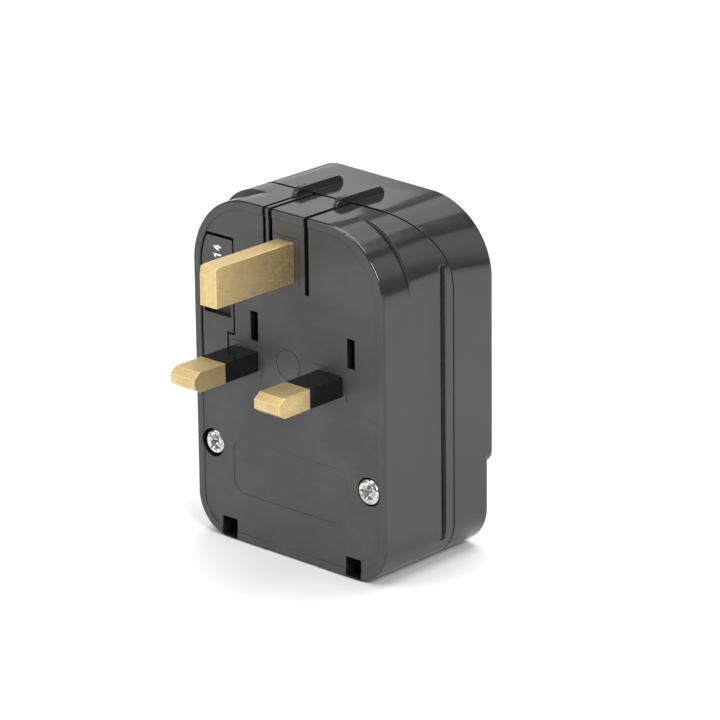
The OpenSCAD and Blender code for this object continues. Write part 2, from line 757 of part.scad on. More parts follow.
module earth_pin() {
    color([0.8, 0.68, 0.42]) translate([0, 0, earth_rise]) union() {
        earth_blade();
        box([-earth_w / 2, -eps, -earth_h / 2], [earth_w / 2, flange_back + eps, earth_h / 2]);
        // Head that holds the pin in its carrier
        box([-earth_head_half.x, flange_back, -earth_head_half.y],
            [earth_head_half.x, flange_back + earth_head_t, earth_head_half.y]);
    }
}

// A lower pin: nose, waist under the sleeve, flange behind the face and rivet stud
module line_pin() {
    waist = [pin_w - 2 * sleeve_t, pin_t - 2 * sleeve_t];
    color([0.8, 0.68, 0.42]) union() {
        along_x(-pin_w / 2, pin_w / 2) polygon([
            [-sleeve_len, pin_t / 2], [nose_len - pin_len, pin_t / 2], [-pin_len, nose_t / 2],
            [-pin_len, -nose_t / 2], [nose_len - pin_len, -pin_t / 2], [-sleeve_len, -pin_t / 2]]);
        box([-waist.x / 2, -sleeve_len - eps, -waist.y / 2], [waist.x / 2, face_t + eps, waist.y / 2]);
        box([-pin_flange.x / 2, face_t, -pin_flange.y / 2],
            [pin_flange.x / 2, face_t + pin_flange.z, pin_flange.y / 2]);
        rod_y(stud_d, face_t, link_y + sheet_t);
    }
}

module live_pin() translate([-pin_x, 0, 0]) line_pin();

module neutral_pin() translate([pin_x, 0, 0]) line_pin();

module line_sleeve() {
    color([0.08, 0.08, 0.09]) difference() {
        box([-pin_w / 2, -sleeve_len, -pin_t / 2], [pin_w / 2, sleeve_seat, pin_t / 2]);
        box([-pin_w / 2 + sleeve_t, -far, -pin_t / 2 + sleeve_t],
            [pin_w / 2 - sleeve_t, far, pin_t / 2 - sleeve_t]);
    }
}

module live_pin_sleeve() translate([-pin_x, 0, 0]) line_sleeve();

module neutral_pin_sleeve() translate([pin_x, 0, 0]) line_sleeve();

module fuse_drawer() {
    slot_x = fuse_x + 0.45;
    slot_z = fuse_mid_z + grip_slot_rise;
    color([0.14, 0.14, 0.15]) difference() {
        union() {
            intersection() {
                front_form();
                along_y(-1, drawer_t) window_outline(drawer_gap, drawer_gap_top);
            }
            // What goes in through the window keeps to its outline
            intersection() {
                along_y(0, far) window_outline(drawer_gap, drawer_gap_top);
                union() {
                    // Cradle that grips the middle of the fuse from the front
                    box([fuse_x - cradle_r - cheek_t, drawer_t - eps, cradle_lo],
                        [fuse_x + cradle_r + cheek_t, cradle_back, cradle_hi]);
                    // Stops at the two ends of the fuse
                    for (side = [-1, 1]) translate([fuse_x, 0, fuse_mid_z + side * stop_z])
                        box([-stop_half, drawer_t - eps, -stop_t / 2], [stop_half, fuse_y, stop_t / 2]);
                }
            }
        }
        translate([fuse_x, fuse_y, fuse_mid_z - far / 2]) cylinder(r = cradle_r, h = far);
        // Slot for a screwdriver blade
        box([slot_x - grip_slot.x / 2, -1, slot_z - grip_slot.y / 2],
            [slot_x + grip_slot.x / 2, grip_slot.z, slot_z + grip_slot.y / 2]);
    }
}

module fuse_body() {
    color([0.93, 0.92, 0.88]) translate([fuse_x, fuse_y, fuse_mid_z])
        cylinder(d = fuse_body_d, h = fuse_len - 2 * cap_len, center = true);
}

module fuse_caps() {
    color([0.8, 0.8, 0.78]) for (side = [-1, 1])
        translate([fuse_x, fuse_y, fuse_mid_z + side * cap_z])
            cylinder(d = fuse_d, h = cap_len, center = true);
}

// A spring clip open to the front, with its base on the links' plane
module fuse_clip(z) {
    outer = clip_half + sheet_t;
    translate([fuse_x, 0, z - clip_w / 2]) {
        box([-outer, link_y, 0], [outer, link_y + sheet_t, clip_w]);
        for (side = [-1, 1]) translate([side * (clip_half + sheet_t / 2), 0, 0])
            box([-sheet_t / 2, clip_front, 0], [sheet_t / 2, link_y + eps, clip_w]);
    }
}

module upper_fuse_clip() {
    z = fuse_mid_z + cap_z;
    left = fuse_x + clip_half;
    color([0.82, 0.66, 0.38]) difference() {
        union() {
            fuse_clip(z);
            // Arm across to the live contact's tab
            box([left, link_y, z - clip_w / 2], [-socket_x + tab_w / 2, link_y + sheet_t, z + clip_w / 2]);
            box([-socket_x - tab_w / 2, link_y, tab_z - tab_h / 2],
                [-socket_x + tab_w / 2, link_y + sheet_t, z + clip_w / 2]);
        }
        translate([-socket_x, 0, tab_z]) rod_y(tab_stud_d, link_y - 1, link_y + 1);
    }
}

module lower_fuse_clip() {
    z = fuse_mid_z - cap_z;
    left = fuse_x + clip_half;
    color([0.82, 0.66, 0.38]) difference() {
        union() {
            fuse_clip(z);
            box([left, link_y, z - clip_w / 2], [-pin_x + rivet_d / 2, link_y + sheet_t, rivet_d / 2]);
        }
        translate([-pin_x, 0, 0]) rod_y(stud_d, link_y - 1, link_y + 1);
    }
}

module neutral_link() {
    color([0.82, 0.66, 0.38]) difference() {
        union() {
            box([pin_x - rivet_d / 2, link_y, -rivet_d / 2],
                [pin_x + rivet_d / 2, link_y + sheet_t, rivet_d / 2]);
            box([socket_x - tab_w / 2, link_y, -rivet_d / 2],
                [socket_x + tab_w / 2, link_y + sheet_t, tab_z + tab_h / 2]);
        }
        translate([pin_x, 0, 0]) rod_y(stud_d, link_y - 1, link_y + 1);
        translate([socket_x, 0, tab_z]) rod_y(tab_stud_d, link_y - 1, link_y + 1);
    }
}

// Heads that close the studs of the pins and of the contact tabs
module link_rivets() {
    color([0.75, 0.6, 0.34]) {
        for (side = [-1, 1]) translate([side * pin_x, 0, 0])
            rod_y(rivet_d, link_y + sheet_t, link_y + sheet_t + rivet_t);
        for (side = [-1, 1]) translate([side * socket_x, 0, tab_z]) {
            rod_y(tab_rivet_d, link_y - rivet_t, link_y);
            rod_y(tab_stud_d, link_y - eps, link_y + sheet_t);
        }
    }
}

// A split tube that takes a round pin, with a tab to its link
module pin_contact() {
    color([0.84, 0.7, 0.42]) difference() {
        union() {
            translate([0, socket_y, contact_z]) cylinder(d = contact_d, h = contact_len);
            box([-tab_w / 2, link_y + sheet_t, tab_z - tab_h / 2], [tab_w / 2, socket_y, tab_z + tab_h / 2]);
        }
        translate([0, socket_y, contact_z - 1]) cylinder(d = contact_bore, h = contact_len + 2);
        box([-contact_slit / 2, socket_y, contact_z - 1], [contact_slit / 2, far, contact_z + contact_len + 1]);
    }
}

module live_contact() translate([-socket_x, 0, 0]) pin_contact();

module neutral_contact() translate([socket_x, 0, 0]) pin_contact();

// Insulating plate with the block that holds the two contacts
module contact_carrier() {
    color([0.2, 0.2, 0.21]) difference() {
        union() {
            intersection() {
                along_y(plate_y, plate_back) case_outline(band_r, wall + plate_edge);
                box([-far, 0, -far], [far, far, plate_top]);
            }
            box([-block_half, plate_y, block_lo], [block_half, block_back, block_hi]);
            for (at = plate_screw_at) translate([at.x, 0, at.y]) rod_y(2 * post_r, pad_y, plate_back);
        }
        for (side = [-1, 1]) {
            translate([side * screw_x, 0, screw_z]) rod_y(2 * (boss_back_r + plate_edge), 0, far);
            translate([side * socket_x, socket_y, contact_z - fit_gap])
                cylinder(d = contact_d + 2 * fit_gap, h = far);
            translate([side * socket_x, socket_y, 0]) cylinder(d = entry_d, h = far);
            box([side * socket_x - tab_w / 2 - fit_gap, 0, tab_z - tab_h / 2 - fit_gap],
                [side * socket_x + tab_w / 2 + fit_gap, socket_y, far]);
        }
        for (at = plate_screw_at) translate([at.x, 0, at.y]) {
            rod_y(plate_screw_d + 2 * fit_gap, 0, far);
            rod_y(plate_head.x + 3 * fit_gap, plate_back - plate_head.y, far);
        }
    }
}

module carrier_screws() {
    color([0.7, 0.7, 0.7]) for (at = plate_screw_at) translate([at.x, plate_back, at.y]) {
        rod_y(plate_screw_d, -plate_screw_len, -eps);
        rod_y(plate_head.x, -plate_head.y, 0);
    }
}

// A pan head with a cross recess on a plain shank; y = 0 is the top of the head
module cover_screw() {
    shank_end = head_t + screw_len;
    color([0.85, 0.85, 0.86]) difference() {
        union() {
            rotate([-90, 0, 0]) rotate_extrude() union() {
                plane_box([0, 0], [head_d / 2 - head_edge_r, head_t]);
                plane_box([0, head_edge_r], [head_d / 2, head_t]);
                intersection() {
                    translate([head_d / 2 - head_edge_r, head_edge_r]) circle(head_edge_r);
                    plane_box([0, 0], [head_d / 2, head_t]);
                }
            }
            rod_y(screw_d, head_t - eps, shank_end - tip_t);
            translate([0, shank_end - tip_t, 0]) rotate([-90, 0, 0])
                cylinder(d1 = screw_d, d2 = screw_d - tip_t, h = tip_t);
        }
        for (turn = [0, 90]) rotate([0, recess_turn + turn, 0])
            along_x(-recess_size.x / 2, recess_size.x / 2) cross_wing();
    }
}

// Side view of one wing of the cross recess: wide at the head's top
module cross_wing() {
    half = recess_size.y / 2;
    foot = recess_size.x / 2;
    polygon([[-1, -half], [-1, half], [0, half], [recess_size.z, foot], [recess_size.z, -foot], [0, -half]]);
}

module left_cover_screw() translate([-screw_x, left_head_y, screw_z]) cover_screw();

module right_cover_screw() translate([screw_x, right_head_y, screw_z]) cover_screw();

// The ring behind the web that keeps a backed-off screw in the case
module retaining_ring(head_y) {
    y = head_y + ring_y;
    color([0.75, 0.75, 0.75]) translate([0, y, screw_z]) difference() {
        rod_y(ring_d, 0, ring_t);
        rod_y(screw_d, -1, ring_t + 1);
    }
}

module left_retaining_ring() translate([-screw_x, 0, 0]) retaining_ring(left_head_y);

module right_retaining_ring() translate([screw_x, 0, 0]) retaining_ring(right_head_y);

module threaded_inserts() {
    color([0.8, 0.68, 0.42]) for (side = [-1, 1]) translate([side * screw_x, insert_y, screw_z]) difference() {
        rod_y(insert_d, 0, insert_len);
        rod_y(screw_d + 2 * screw_play, -1, insert_len + 1);
    }
}

front_housing();
rear_cover();
hinge_pins();
earth_pin_carrier();
earth_pin();
live_pin();
neutral_pin();
live_pin_sleeve();
neutral_pin_sleeve();
fuse_drawer();
fuse_body();
fuse_caps();
upper_fuse_clip();
lower_fuse_clip();
live_contact();
neutral_contact();
neutral_link();
link_rivets();
contact_carrier();
carrier_screws();
left_cover_screw();
right_cover_screw();
left_retaining_ring();
right_retaining_ring();
threaded_inserts();
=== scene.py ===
"""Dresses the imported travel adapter.

It refines the case's top right corner, cuts the screws' threads, inks the drawer's number, gives every
piece its finish and sets a small studio.
"""

import json
import math

import bmesh
import bpy
from bpy.props import FloatProperty, FloatVectorProperty, PointerProperty, StringProperty
from mathutils import Matrix, Vector

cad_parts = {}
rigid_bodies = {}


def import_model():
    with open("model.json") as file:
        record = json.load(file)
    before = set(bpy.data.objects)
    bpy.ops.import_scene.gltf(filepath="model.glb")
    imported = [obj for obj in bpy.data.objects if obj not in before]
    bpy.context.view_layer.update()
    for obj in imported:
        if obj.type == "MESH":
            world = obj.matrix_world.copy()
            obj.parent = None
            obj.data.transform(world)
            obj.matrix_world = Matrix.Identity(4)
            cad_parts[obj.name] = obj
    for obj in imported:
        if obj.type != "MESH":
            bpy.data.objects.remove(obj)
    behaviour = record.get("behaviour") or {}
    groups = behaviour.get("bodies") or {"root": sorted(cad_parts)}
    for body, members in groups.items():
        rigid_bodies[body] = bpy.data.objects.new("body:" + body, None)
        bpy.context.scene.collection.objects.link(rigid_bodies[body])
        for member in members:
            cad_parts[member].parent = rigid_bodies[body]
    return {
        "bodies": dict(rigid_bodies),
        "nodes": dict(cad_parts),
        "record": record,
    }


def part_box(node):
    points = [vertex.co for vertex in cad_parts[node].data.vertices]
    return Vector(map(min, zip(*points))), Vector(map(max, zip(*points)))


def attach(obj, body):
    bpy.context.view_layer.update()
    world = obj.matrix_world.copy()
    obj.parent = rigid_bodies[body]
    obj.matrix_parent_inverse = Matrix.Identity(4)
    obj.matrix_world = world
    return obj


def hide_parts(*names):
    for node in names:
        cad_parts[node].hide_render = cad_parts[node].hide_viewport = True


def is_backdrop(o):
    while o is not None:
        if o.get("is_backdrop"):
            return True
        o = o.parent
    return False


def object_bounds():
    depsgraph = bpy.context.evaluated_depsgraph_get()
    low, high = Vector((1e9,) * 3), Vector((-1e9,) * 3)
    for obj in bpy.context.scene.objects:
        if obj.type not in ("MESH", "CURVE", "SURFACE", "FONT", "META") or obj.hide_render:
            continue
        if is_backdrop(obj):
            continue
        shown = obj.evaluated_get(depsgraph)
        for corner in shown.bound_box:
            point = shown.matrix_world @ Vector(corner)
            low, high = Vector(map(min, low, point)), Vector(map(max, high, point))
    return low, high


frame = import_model()

bl_info = {
    "name": "Travel Adapter Dressing",
    "version": (1, 0, 0),
    "blender": (4, 5, 0),
    "location": "View3D > Sidebar > Adapter",
    "description": "Refines, threads, numbers and finishes the packed travel adapter, and sets its studio",
    "category": "Object",
}

MM = 0.001
WELD = 0.0005 * MM
SHARP_ANGLE = math.radians(30)
FLAT_ANGLE = math.radians(0.4)
NODES = frame["nodes"]
BODY_OF = {node: body for body, members in frame["record"]["behaviour"]["bodies"].items() for node in members}


# Finishes: a small set of helpers, then one function for each real finish.


def start_finish(name):
    """An empty node material with its shader: (material, tree, shader)."""
    material = bpy.data.materials.new(name)
    material.use_nodes = True
    tree = material.node_tree
    tree.nodes.clear()
    output = tree.nodes.new("ShaderNodeOutputMaterial")
    shader = tree.nodes.new("ShaderNodeBsdfPrincipled")
    tree.links.new(shader.outputs["BSDF"], output.inputs["Surface"])
    return material, tree, shader


def part_coords(tree, stretch=(1, 1, 1)):
    """Places on the part, in metres, drawn out along an axis where stretch is small."""
    source = tree.nodes.new("ShaderNodeTexCoord")
    mapping = tree.nodes.new("ShaderNodeMapping")
    mapping.inputs["Scale"].default_value = stretch
    tree.links.new(source.outputs["Object"], mapping.inputs["Vector"])
    return mapping.outputs["Vector"]


def grain(tree, coords, size, detail=3, roughness=0.55):
    """Cloudy pattern with blobs of about this size in metres, from 0 to 1."""
    pattern = tree.nodes.new("ShaderNodeTexNoise")
    pattern.inputs["Scale"].default_value = 1 / size
    pattern.inputs["Detail"].default_value = detail
    pattern.inputs["Roughness"].default_value = roughness
    tree.links.new(coords, pattern.inputs["Vector"])
    return pattern.outputs["Fac"]


def spread(tree, value, low, high, start=0.3, end=0.7):
    """A pattern's range from start to end, moved to low and high."""
    mapper = tree.nodes.new("ShaderNodeMapRange")
    for socket, number in zip(("From Min", "From Max", "To Min", "To Max"), (start, end, low, high)):
        mapper.inputs[socket].default_value = number
    tree.links.new(value, mapper.inputs["Value"])
    return mapper.outputs["Result"]


def two_tone(tree, value, first, second, start=0.35, end=0.65):
    """A colour that goes from first to second as the pattern rises."""
    ramp = tree.nodes.new("ShaderNodeValToRGB")
    ramp.color_ramp.elements[0].position = start
    ramp.color_ramp.elements[0].color = (*first, 1)
    ramp.color_ramp.elements[1].position = end
    ramp.color_ramp.elements[1].color = (*second, 1)
    tree.links.new(value, ramp.inputs["Fac"])
    return ramp.outputs["Color"]


def blend(tree, kind, amount, first, second):
    """Mixes two sockets of this kind (RGBA, FLOAT or VECTOR) by a pattern."""
    mixer = tree.nodes.new("ShaderNodeMix")
    mixer.data_type = kind
    tree.links.new(amount, mixer.inputs["Factor"])
    tree.links.new(first, mixer.inputs["A"])
    tree.links.new(second, mixer.inputs["B"])
    return mixer.outputs["Result"]


def flat_colour(tree, colour):
    """One colour as a socket, to mix with patterns."""
    source = tree.nodes.new("ShaderNodeRGB")
    source.outputs["Color"].default_value = (*colour, 1)
    return source.outputs["Color"]


def soft_edges(tree, radius):
    """Rounds the light on sharp edges by this radius in metres, as a mould's edges are."""
    rounding = tree.nodes.new("ShaderNodeBevel")
    rounding.samples = 4
    rounding.inputs["Radius"].default_value = radius
    return rounding.outputs["Normal"]


def edge_highlight_mask(tree, rounded):
    """How near an edge is, as the mask of a painted edge highlight: 0 on a flat, 1 on the edge, where the
    rounded light turns away from the face.
    """
    surface = tree.nodes.new("ShaderNodeNewGeometry")
    turned = tree.nodes.new("ShaderNodeVectorMath")
    turned.operation = "DOT_PRODUCT"
    tree.links.new(surface.outputs["True Normal"], turned.inputs[0])
    tree.links.new(rounded, turned.inputs[1])
    return spread(tree, turned.outputs["Value"], 0, 1, 0.995, 0.96)


def facing(tree, axis, start, end):
    """How far the face looks along this axis: 0 where the normal's share is start, 1 where it is end."""
    source = tree.nodes.new("ShaderNodeTexCoord")
    shares = tree.nodes.new("ShaderNodeSeparateXYZ")
    tree.links.new(source.outputs["Normal"], shares.inputs["Vector"])
    return spread(tree, shares.outputs[axis], 0, 1, start, end)


def along_part(tree, axis, start, end):
    """Rises from 0 to 1 between two places along this axis of the part."""
    places = tree.nodes.new("ShaderNodeSeparateXYZ")
    tree.links.new(part_coords(tree), places.inputs["Vector"])
    return spread(tree, places.outputs[axis], 0, 1, start, end)


def product(tree, *values):
    """The patterns multiplied with each other."""
    result = values[0]
    for value in values[1:]:
        times = tree.nodes.new("ShaderNodeMath")
        times.operation = "MULTIPLY"
        tree.links.new(result, times.inputs[0])
        tree.links.new(value, times.inputs[1])
        result = times.outputs["Value"]
    return result


def relief(tree, height, depth, below=None):
    """A bump of this depth in metres, on top of another bump if one is given."""
    bump = tree.nodes.new("ShaderNodeBump")
    bump.inputs["Strength"].default_value = 1.0
    bump.inputs["Distance"].default_value = depth
    tree.links.new(height, bump.inputs["Height"])
    if below is not None:
        tree.links.new(below, bump.inputs["Normal"])
    return bump.outputs["Normal"]


def shade(colour, factor):
    """The colour made lighter or darker."""
    return tuple(min(1.0, channel * factor) for channel in colour)


def dress_shader(tree, shader, colour, roughness, normal):
    """Links a finish's colour, roughness and normal to its shader."""
    for socket, value in (("Base Color", colour), ("Roughness", roughness), ("Normal", normal)):
        tree.links.new(value, shader.inputs[socket])


def in_the_open(tree, depth):
    """0 deep in a slot or a notch, where hardly any light comes back out, to 1 on open faces: the ambient
    occlusion mask of painted shade in slots.
    """
    shelter = tree.nodes.new("ShaderNodeAmbientOcclusion")
    shelter.samples = 6
    shelter.inputs["Distance"].default_value = depth
    return spread(tree, shelter.outputs["AO"], 0, 1, 0.12, 0.42)


def moulded_finish(name, colour, gloss, texture, ripple, edge, marks=1.0, face=None):
    """Black moulded plastic: faint flow clouds, a fine mould texture, sink ripples, rub marks and painted
    shade deep in slots.

    Where face is given, it holds the colour, roughness and edge radius of the faces towards the pins.
    """
    cloud_size, speck_size, rub_size = 9 * MM, 0.35 * MM, 2.6 * MM
    ripple_size, texture_size, slot_depth = 14 * MM, 0.22 * MM, 2.5 * MM
    material, tree, shader = start_finish(name)
    shader.inputs["IOR"].default_value = 1.6
    coords = part_coords(tree)
    clouds = grain(tree, coords, cloud_size, 4)
    specks = grain(tree, coords, speck_size, 2, 0.7)
    tone = two_tone(tree, clouds, shade(colour, 0.86), shade(colour, 1.14))
    dust = two_tone(tree, specks, shade(colour, 1.0), shade(colour, 1.9), 0.68, 0.8)
    skin = blend(tree, "RGBA", spread(tree, specks, 0.0, 0.5 * marks, 0.62, 0.75), tone, dust)
    rubbed = grain(tree, part_coords(tree, (0.5, 0.5, 2.2)), rub_size, 6, 0.65)
    roughness = spread(tree, rubbed, gloss - 0.05 * marks, gloss + 0.07 * marks)
    light = soft_edges(tree, edge)
    if face is not None:
        face_colour, face_gloss, face_edge = face
        forward = facing(tree, "Y", -0.8, -0.95)
        face_tone = two_tone(tree, clouds, shade(face_colour, 0.88), shade(face_colour, 1.12))
        face_roughness = spread(tree, rubbed, face_gloss - 0.04, face_gloss + 0.06)
        skin = blend(tree, "RGBA", forward, skin, face_tone)
        roughness = blend(tree, "FLOAT", forward, roughness, face_roughness)
        light = blend(tree, "VECTOR", forward, light, soft_edges(tree, face_edge))
    # Painted shade: the reflection is turned down deep in slots and notches, where ambient occlusion is low
    specular_with_painted_slot_shade = spread(tree, in_the_open(tree, slot_depth), 0, 0.5, 0, 1)
    tree.links.new(specular_with_painted_slot_shade, shader.inputs["Specular IOR Level"])
    waves = relief(tree, grain(tree, coords, ripple_size, 1), ripple, light)
    bumps = relief(tree, grain(tree, coords, texture_size, 2, 0.6), texture, waves)
    dress_shader(tree, shader, skin, roughness, bumps)
    return material


def brass_finish(name, colour, tarnish, gloss, amount, edge, lay=(1, 0.06, 1), root=None):
    """Milled brass: tool lines along the blade, cloudy tarnish, dark pits, and edges rubbed clean that carry
    a painted highlight, brighter than clean brass.

    Where root gives two places along Y, the sides grow speckled between them.
    """
    line_size, cloud_size, pit_size, speckle_size = 0.11 * MM, 3.2 * MM, 0.28 * MM, 0.42 * MM
    pit_depth, line_depth = 0.004 * MM, 0.0025 * MM
    material, tree, shader = start_finish(name)
    shader.inputs["Metallic"].default_value = 0.86
    coords = part_coords(tree)
    lines = grain(tree, part_coords(tree, lay), line_size, 3, 0.6)
    clouds = grain(tree, coords, cloud_size, 6, 0.68)
    pits = grain(tree, coords, pit_size, 3, 0.7)
    clean = two_tone(tree, lines, shade(colour, 0.74), colour, 0.32, 0.6)
    dull = two_tone(tree, pits, tarnish, shade(colour, 0.8), 0.38, 0.66)
    worn = blend(tree, "RGBA", spread(tree, clouds, amount * 0.15, amount, 0.38, 0.68), clean, dull)
    if root is not None:
        speckles = spread(tree, grain(tree, coords, speckle_size, 5, 0.8), 0, 0.65, 0.45, 0.58)
        aged = product(tree, speckles, along_part(tree, "Y", *root), facing(tree, "X", 0.5, 0.8))
        worn = blend(tree, "RGBA", aged, worn, flat_colour(tree, shade(tarnish, 0.62)))
    rounded = soft_edges(tree, edge)
    # Painted highlight: the edges are painted brighter than clean brass, where the rounded light turns away
    # from the face
    painted_edge_highlight = flat_colour(tree, shade(colour, 1.35))
    skin = blend(tree, "RGBA", edge_highlight_mask(tree, rounded), worn, painted_edge_highlight)
    roughness = spread(tree, clouds, gloss - 0.04, gloss + 0.1, 0.35, 0.7)
    dents = relief(tree, pits, pit_depth, rounded)
    dress_shader(tree, shader, skin, roughness, relief(tree, lines, line_depth, dents))
    return material


def plated_finish(name, colour, gloss, dimple):
    """Bright plating over a cold-headed blank: dimples that break up the reflections, and darker stains."""
    stain_size, dimple_size, pit_size, edge = 0.7 * MM, 0.9 * MM, 0.16 * MM, 0.06 * MM
    material, tree, shader = start_finish(name)
    shader.inputs["Metallic"].default_value = 1.0
    coords = part_coords(tree)
    stains = grain(tree, coords, stain_size, 5, 0.7)
    skin = two_tone(tree, stains, shade(colour, 0.3), colour, 0.4, 0.56)
    roughness = spread(tree, stains, gloss + 0.12, gloss, 0.3, 0.6)
    hammer = relief(tree, grain(tree, coords, dimple_size, 2), dimple, soft_edges(tree, edge))
    pitting = relief(tree, grain(tree, coords, pit_size, 2), dimple * 0.12, hammer)
    dress_shader(tree, shader, skin, roughness, pitting)
    return material


def glazed_finish(name, colour):
    """Glazed ceramic: warm white with faint specks under a smooth skin."""
    speck_size, haze_size, wave_size, wave_depth = 0.4 * MM, 2 * MM, 1.2 * MM, 0.01 * MM
    material, tree, shader = start_finish(name)
    coords = part_coords(tree)
    specks = grain(tree, coords, speck_size, 4, 0.7)
    skin = two_tone(tree, specks, shade(colour, 0.72), colour, 0.25, 0.42)
    roughness = spread(tree, grain(tree, coords, haze_size), 0.14, 0.26)
    dress_shader(tree, shader, skin, roughness, relief(tree, grain(tree, coords, wave_size, 2), wave_depth))
    return material


def ink_finish(name, colour):
    """White filling ink: slightly patchy, with a chalky skin."""
    patch_size, patch_depth = 0.35 * MM, 0.01 * MM
    material, tree, shader = start_finish(name)
    patches = grain(tree, part_coords(tree), patch_size, 4, 0.7)
    skin = two_tone(tree, patches, shade(colour, 0.72), colour, 0.3, 0.52)
    dress_shader(tree, shader, skin, spread(tree, patches, 0.62, 0.45), relief(tree, patches, patch_depth))
    return material


def case_finish(name):
    """The outer case: glossy, with a duller textured face towards the pins."""
    plastic = bpy.context.scene.adapter_plastic
    face = (tuple(plastic.face_colour), plastic.face_gloss, plastic.face_edge)
    texture, ripple, marks = 0.0015 * MM, 0.03 * MM, 0.4
    colour = tuple(plastic.case_colour)
    return moulded_finish(name, colour, plastic.case_gloss, texture, ripple, plastic.case_edge, marks, face)


def finish(name):
    """The named finish, made when it is first asked for."""
    made = bpy.data.materials.get(name)
    if made:
        return made
    plastic = bpy.context.scene.adapter_plastic
    metal = bpy.context.scene.adapter_metal
    brass, tarnish = tuple(metal.brass_colour), tuple(metal.tarnish_colour)
    bronze, nickel = tuple(metal.bronze_colour), tuple(metal.nickel_colour)
    inner, sleeve = tuple(plastic.inner_colour), tuple(plastic.sleeve_colour)
    pin_root = (-13 * MM, -1 * MM)
    makers = {
        "case black": case_finish,
        "inner black": lambda n: moulded_finish(n, inner, 0.45, 0.012 * MM, 0.03 * MM, 0.1 * MM),
        "sleeve black": lambda n: moulded_finish(n, sleeve, 0.17, 0.004 * MM, 0.02 * MM, 0.05 * MM),
        "pin brass": lambda n: brass_finish(
            n, brass, tarnish, metal.brass_gloss, metal.tarnish, metal.pin_edge, root=pin_root
        ),
        "turned brass": lambda n: brass_finish(
            n, brass, tarnish, 0.26, metal.tarnish * 0.4, 0.08 * MM, (1, 1, 1)
        ),
        "contact bronze": lambda n: brass_finish(n, bronze, tarnish, 0.32, 0.35, 0.04 * MM, (1, 1, 0.1)),
        "cap nickel": lambda n: plated_finish(n, nickel, 0.22, 0.012 * MM),
        "screw nickel": lambda n: plated_finish(n, nickel, 0.14, 0.035 * MM),
        "ring steel": lambda n: plated_finish(n, tuple(metal.steel_colour), 0.35, 0.01 * MM),
        "fuse ceramic": lambda n: glazed_finish(n, tuple(plastic.ceramic_colour)),
        "number ink": lambda n: ink_finish(n, tuple(plastic.ink_colour)),
    }
    return makers[name](name)


# Shapes: the helpers that every piece is made with.


def body_mesh(node):
    """The node's mesh as plain faces: its triangles joined wherever they lie in one plane."""
    shell = bmesh.new()
    shell.from_mesh(NODES[node].data)
    bmesh.ops.remove_doubles(shell, verts=shell.verts, dist=WELD)
    bmesh.ops.dissolve_degenerate(shell, edges=shell.edges, dist=WELD)
    bmesh.ops.dissolve_limit(shell, angle_limit=FLAT_ANGLE, verts=shell.verts, edges=shell.edges)
    return shell


def add_piece(name, shell, body, finish_name):
    """Turns a finished bmesh into a smooth piece that rides on its body."""
    mesh = bpy.data.meshes.new(name)
    for face in shell.faces:
        face.smooth = True
    shell.normal_update()
    shell.to_mesh(mesh)
    shell.free()
    return place_piece(name, mesh, body, finish_name)


def place_piece(name, mesh, body, finish_name):
    """Puts a finished mesh on its body, with its finish."""
    mesh.materials.append(finish(finish_name))
    piece = bpy.data.objects.new(name, mesh)
    bpy.context.scene.collection.objects.link(piece)
    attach(piece, body)
    return piece


def even_shading(piece):
    """Shades flat faces flat and curved ones smoothly."""
    shading = piece.modifiers.new("even shading", "WEIGHTED_NORMAL")
    shading.keep_sharp = True
    shading.weight = 80


def round_edges(piece, width):
    """Rounds the sharp edges and shades flat faces flat."""
    bevel = piece.modifiers.new("rounded edges", "BEVEL")
    bevel.width = width
    bevel.segments = 2
    bevel.limit_method = "ANGLE"
    bevel.angle_limit = SHARP_ANGLE
    bevel.use_clamp_overlap = False
    bevel.loop_slide = False
    even_shading(piece)


def keep(node, finish_name):
    """Keeps a CAD node, whose shape and shading are right, and gives it a real finish."""
    part = NODES[node]
    part.data.materials.clear()
    part.data.materials.append(finish(finish_name))


def dress(node, finish_name, width):
    """Replaces a CAD node by its own shape with rounded edges and a real finish."""
    piece = add_piece(node + ".dressed", body_mesh(node), BODY_OF[node], finish_name)
    round_edges(piece, width)
    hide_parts(node)


def lathe(shell, profile, axis_at):
    """Turns a profile of (distance from the axis, y) about the line along Y through axis_at.

    A distance of 0 at an end closes it.
    """
    steps = 48
    rings = []
    for radius, y in profile:
        if radius == 0:
            rings.append([shell.verts.new((axis_at[0], y, axis_at[1]))])
            continue
        ring = []
        for step in range(steps):
            turn = math.tau * step / steps
            x = axis_at[0] + radius * math.cos(turn)
            z = axis_at[1] + radius * math.sin(turn)
            ring.append(shell.verts.new((x, y, z)))
        rings.append(ring)
    for low, high in zip(rings, rings[1:]):
        for step in range(steps):
            after = (step + 1) % steps
            corners = [
                low[step % len(low)],
                low[after % len(low)],
                high[after % len(high)],
                high[step % len(high)],
            ]
            shell.faces.new([v for place, v in enumerate(corners) if v not in corners[:place]])


def thread(shell, axis_at, start, end, core, crest, pitch):
    """A helical thread ridge about a core along Y, run out to nothing at both ends."""
    steps = 28
    run_out_turns = 0.5
    root = core - 0.05 * MM
    half_foot, half_top = 0.42 * pitch, 0.08 * pitch
    turns = (end - start) / pitch
    count = int(turns * steps)
    before = None
    for index in range(count + 1):
        turn = index / steps
        angle = math.tau * turn
        y = start + pitch * turn
        run_out = min(1.0, turn / run_out_turns, (turns - turn) / run_out_turns)
        top = core + (crest - core) * run_out
        section = []
        for radius, shift in ((root, -half_foot), (top, -half_top), (top, half_top), (root, half_foot)):
            x = axis_at[0] + radius * math.cos(angle)
            z = axis_at[1] + radius * math.sin(angle)
            section.append(shell.verts.new((x, y + shift, z)))
        if before:
            for side in range(4):
                after = (side + 1) % 4
                shell.faces.new((before[side], before[after], section[after], section[side]))
        else:
            shell.faces.new(section)
        before = section
    shell.faces.new(list(reversed(before)))


# The case's top right corner. Each shell's solid has one radius there. Here the shells share one radius at
# their joint, and the cover's grows to the back. The left corner keeps its solid's radius.

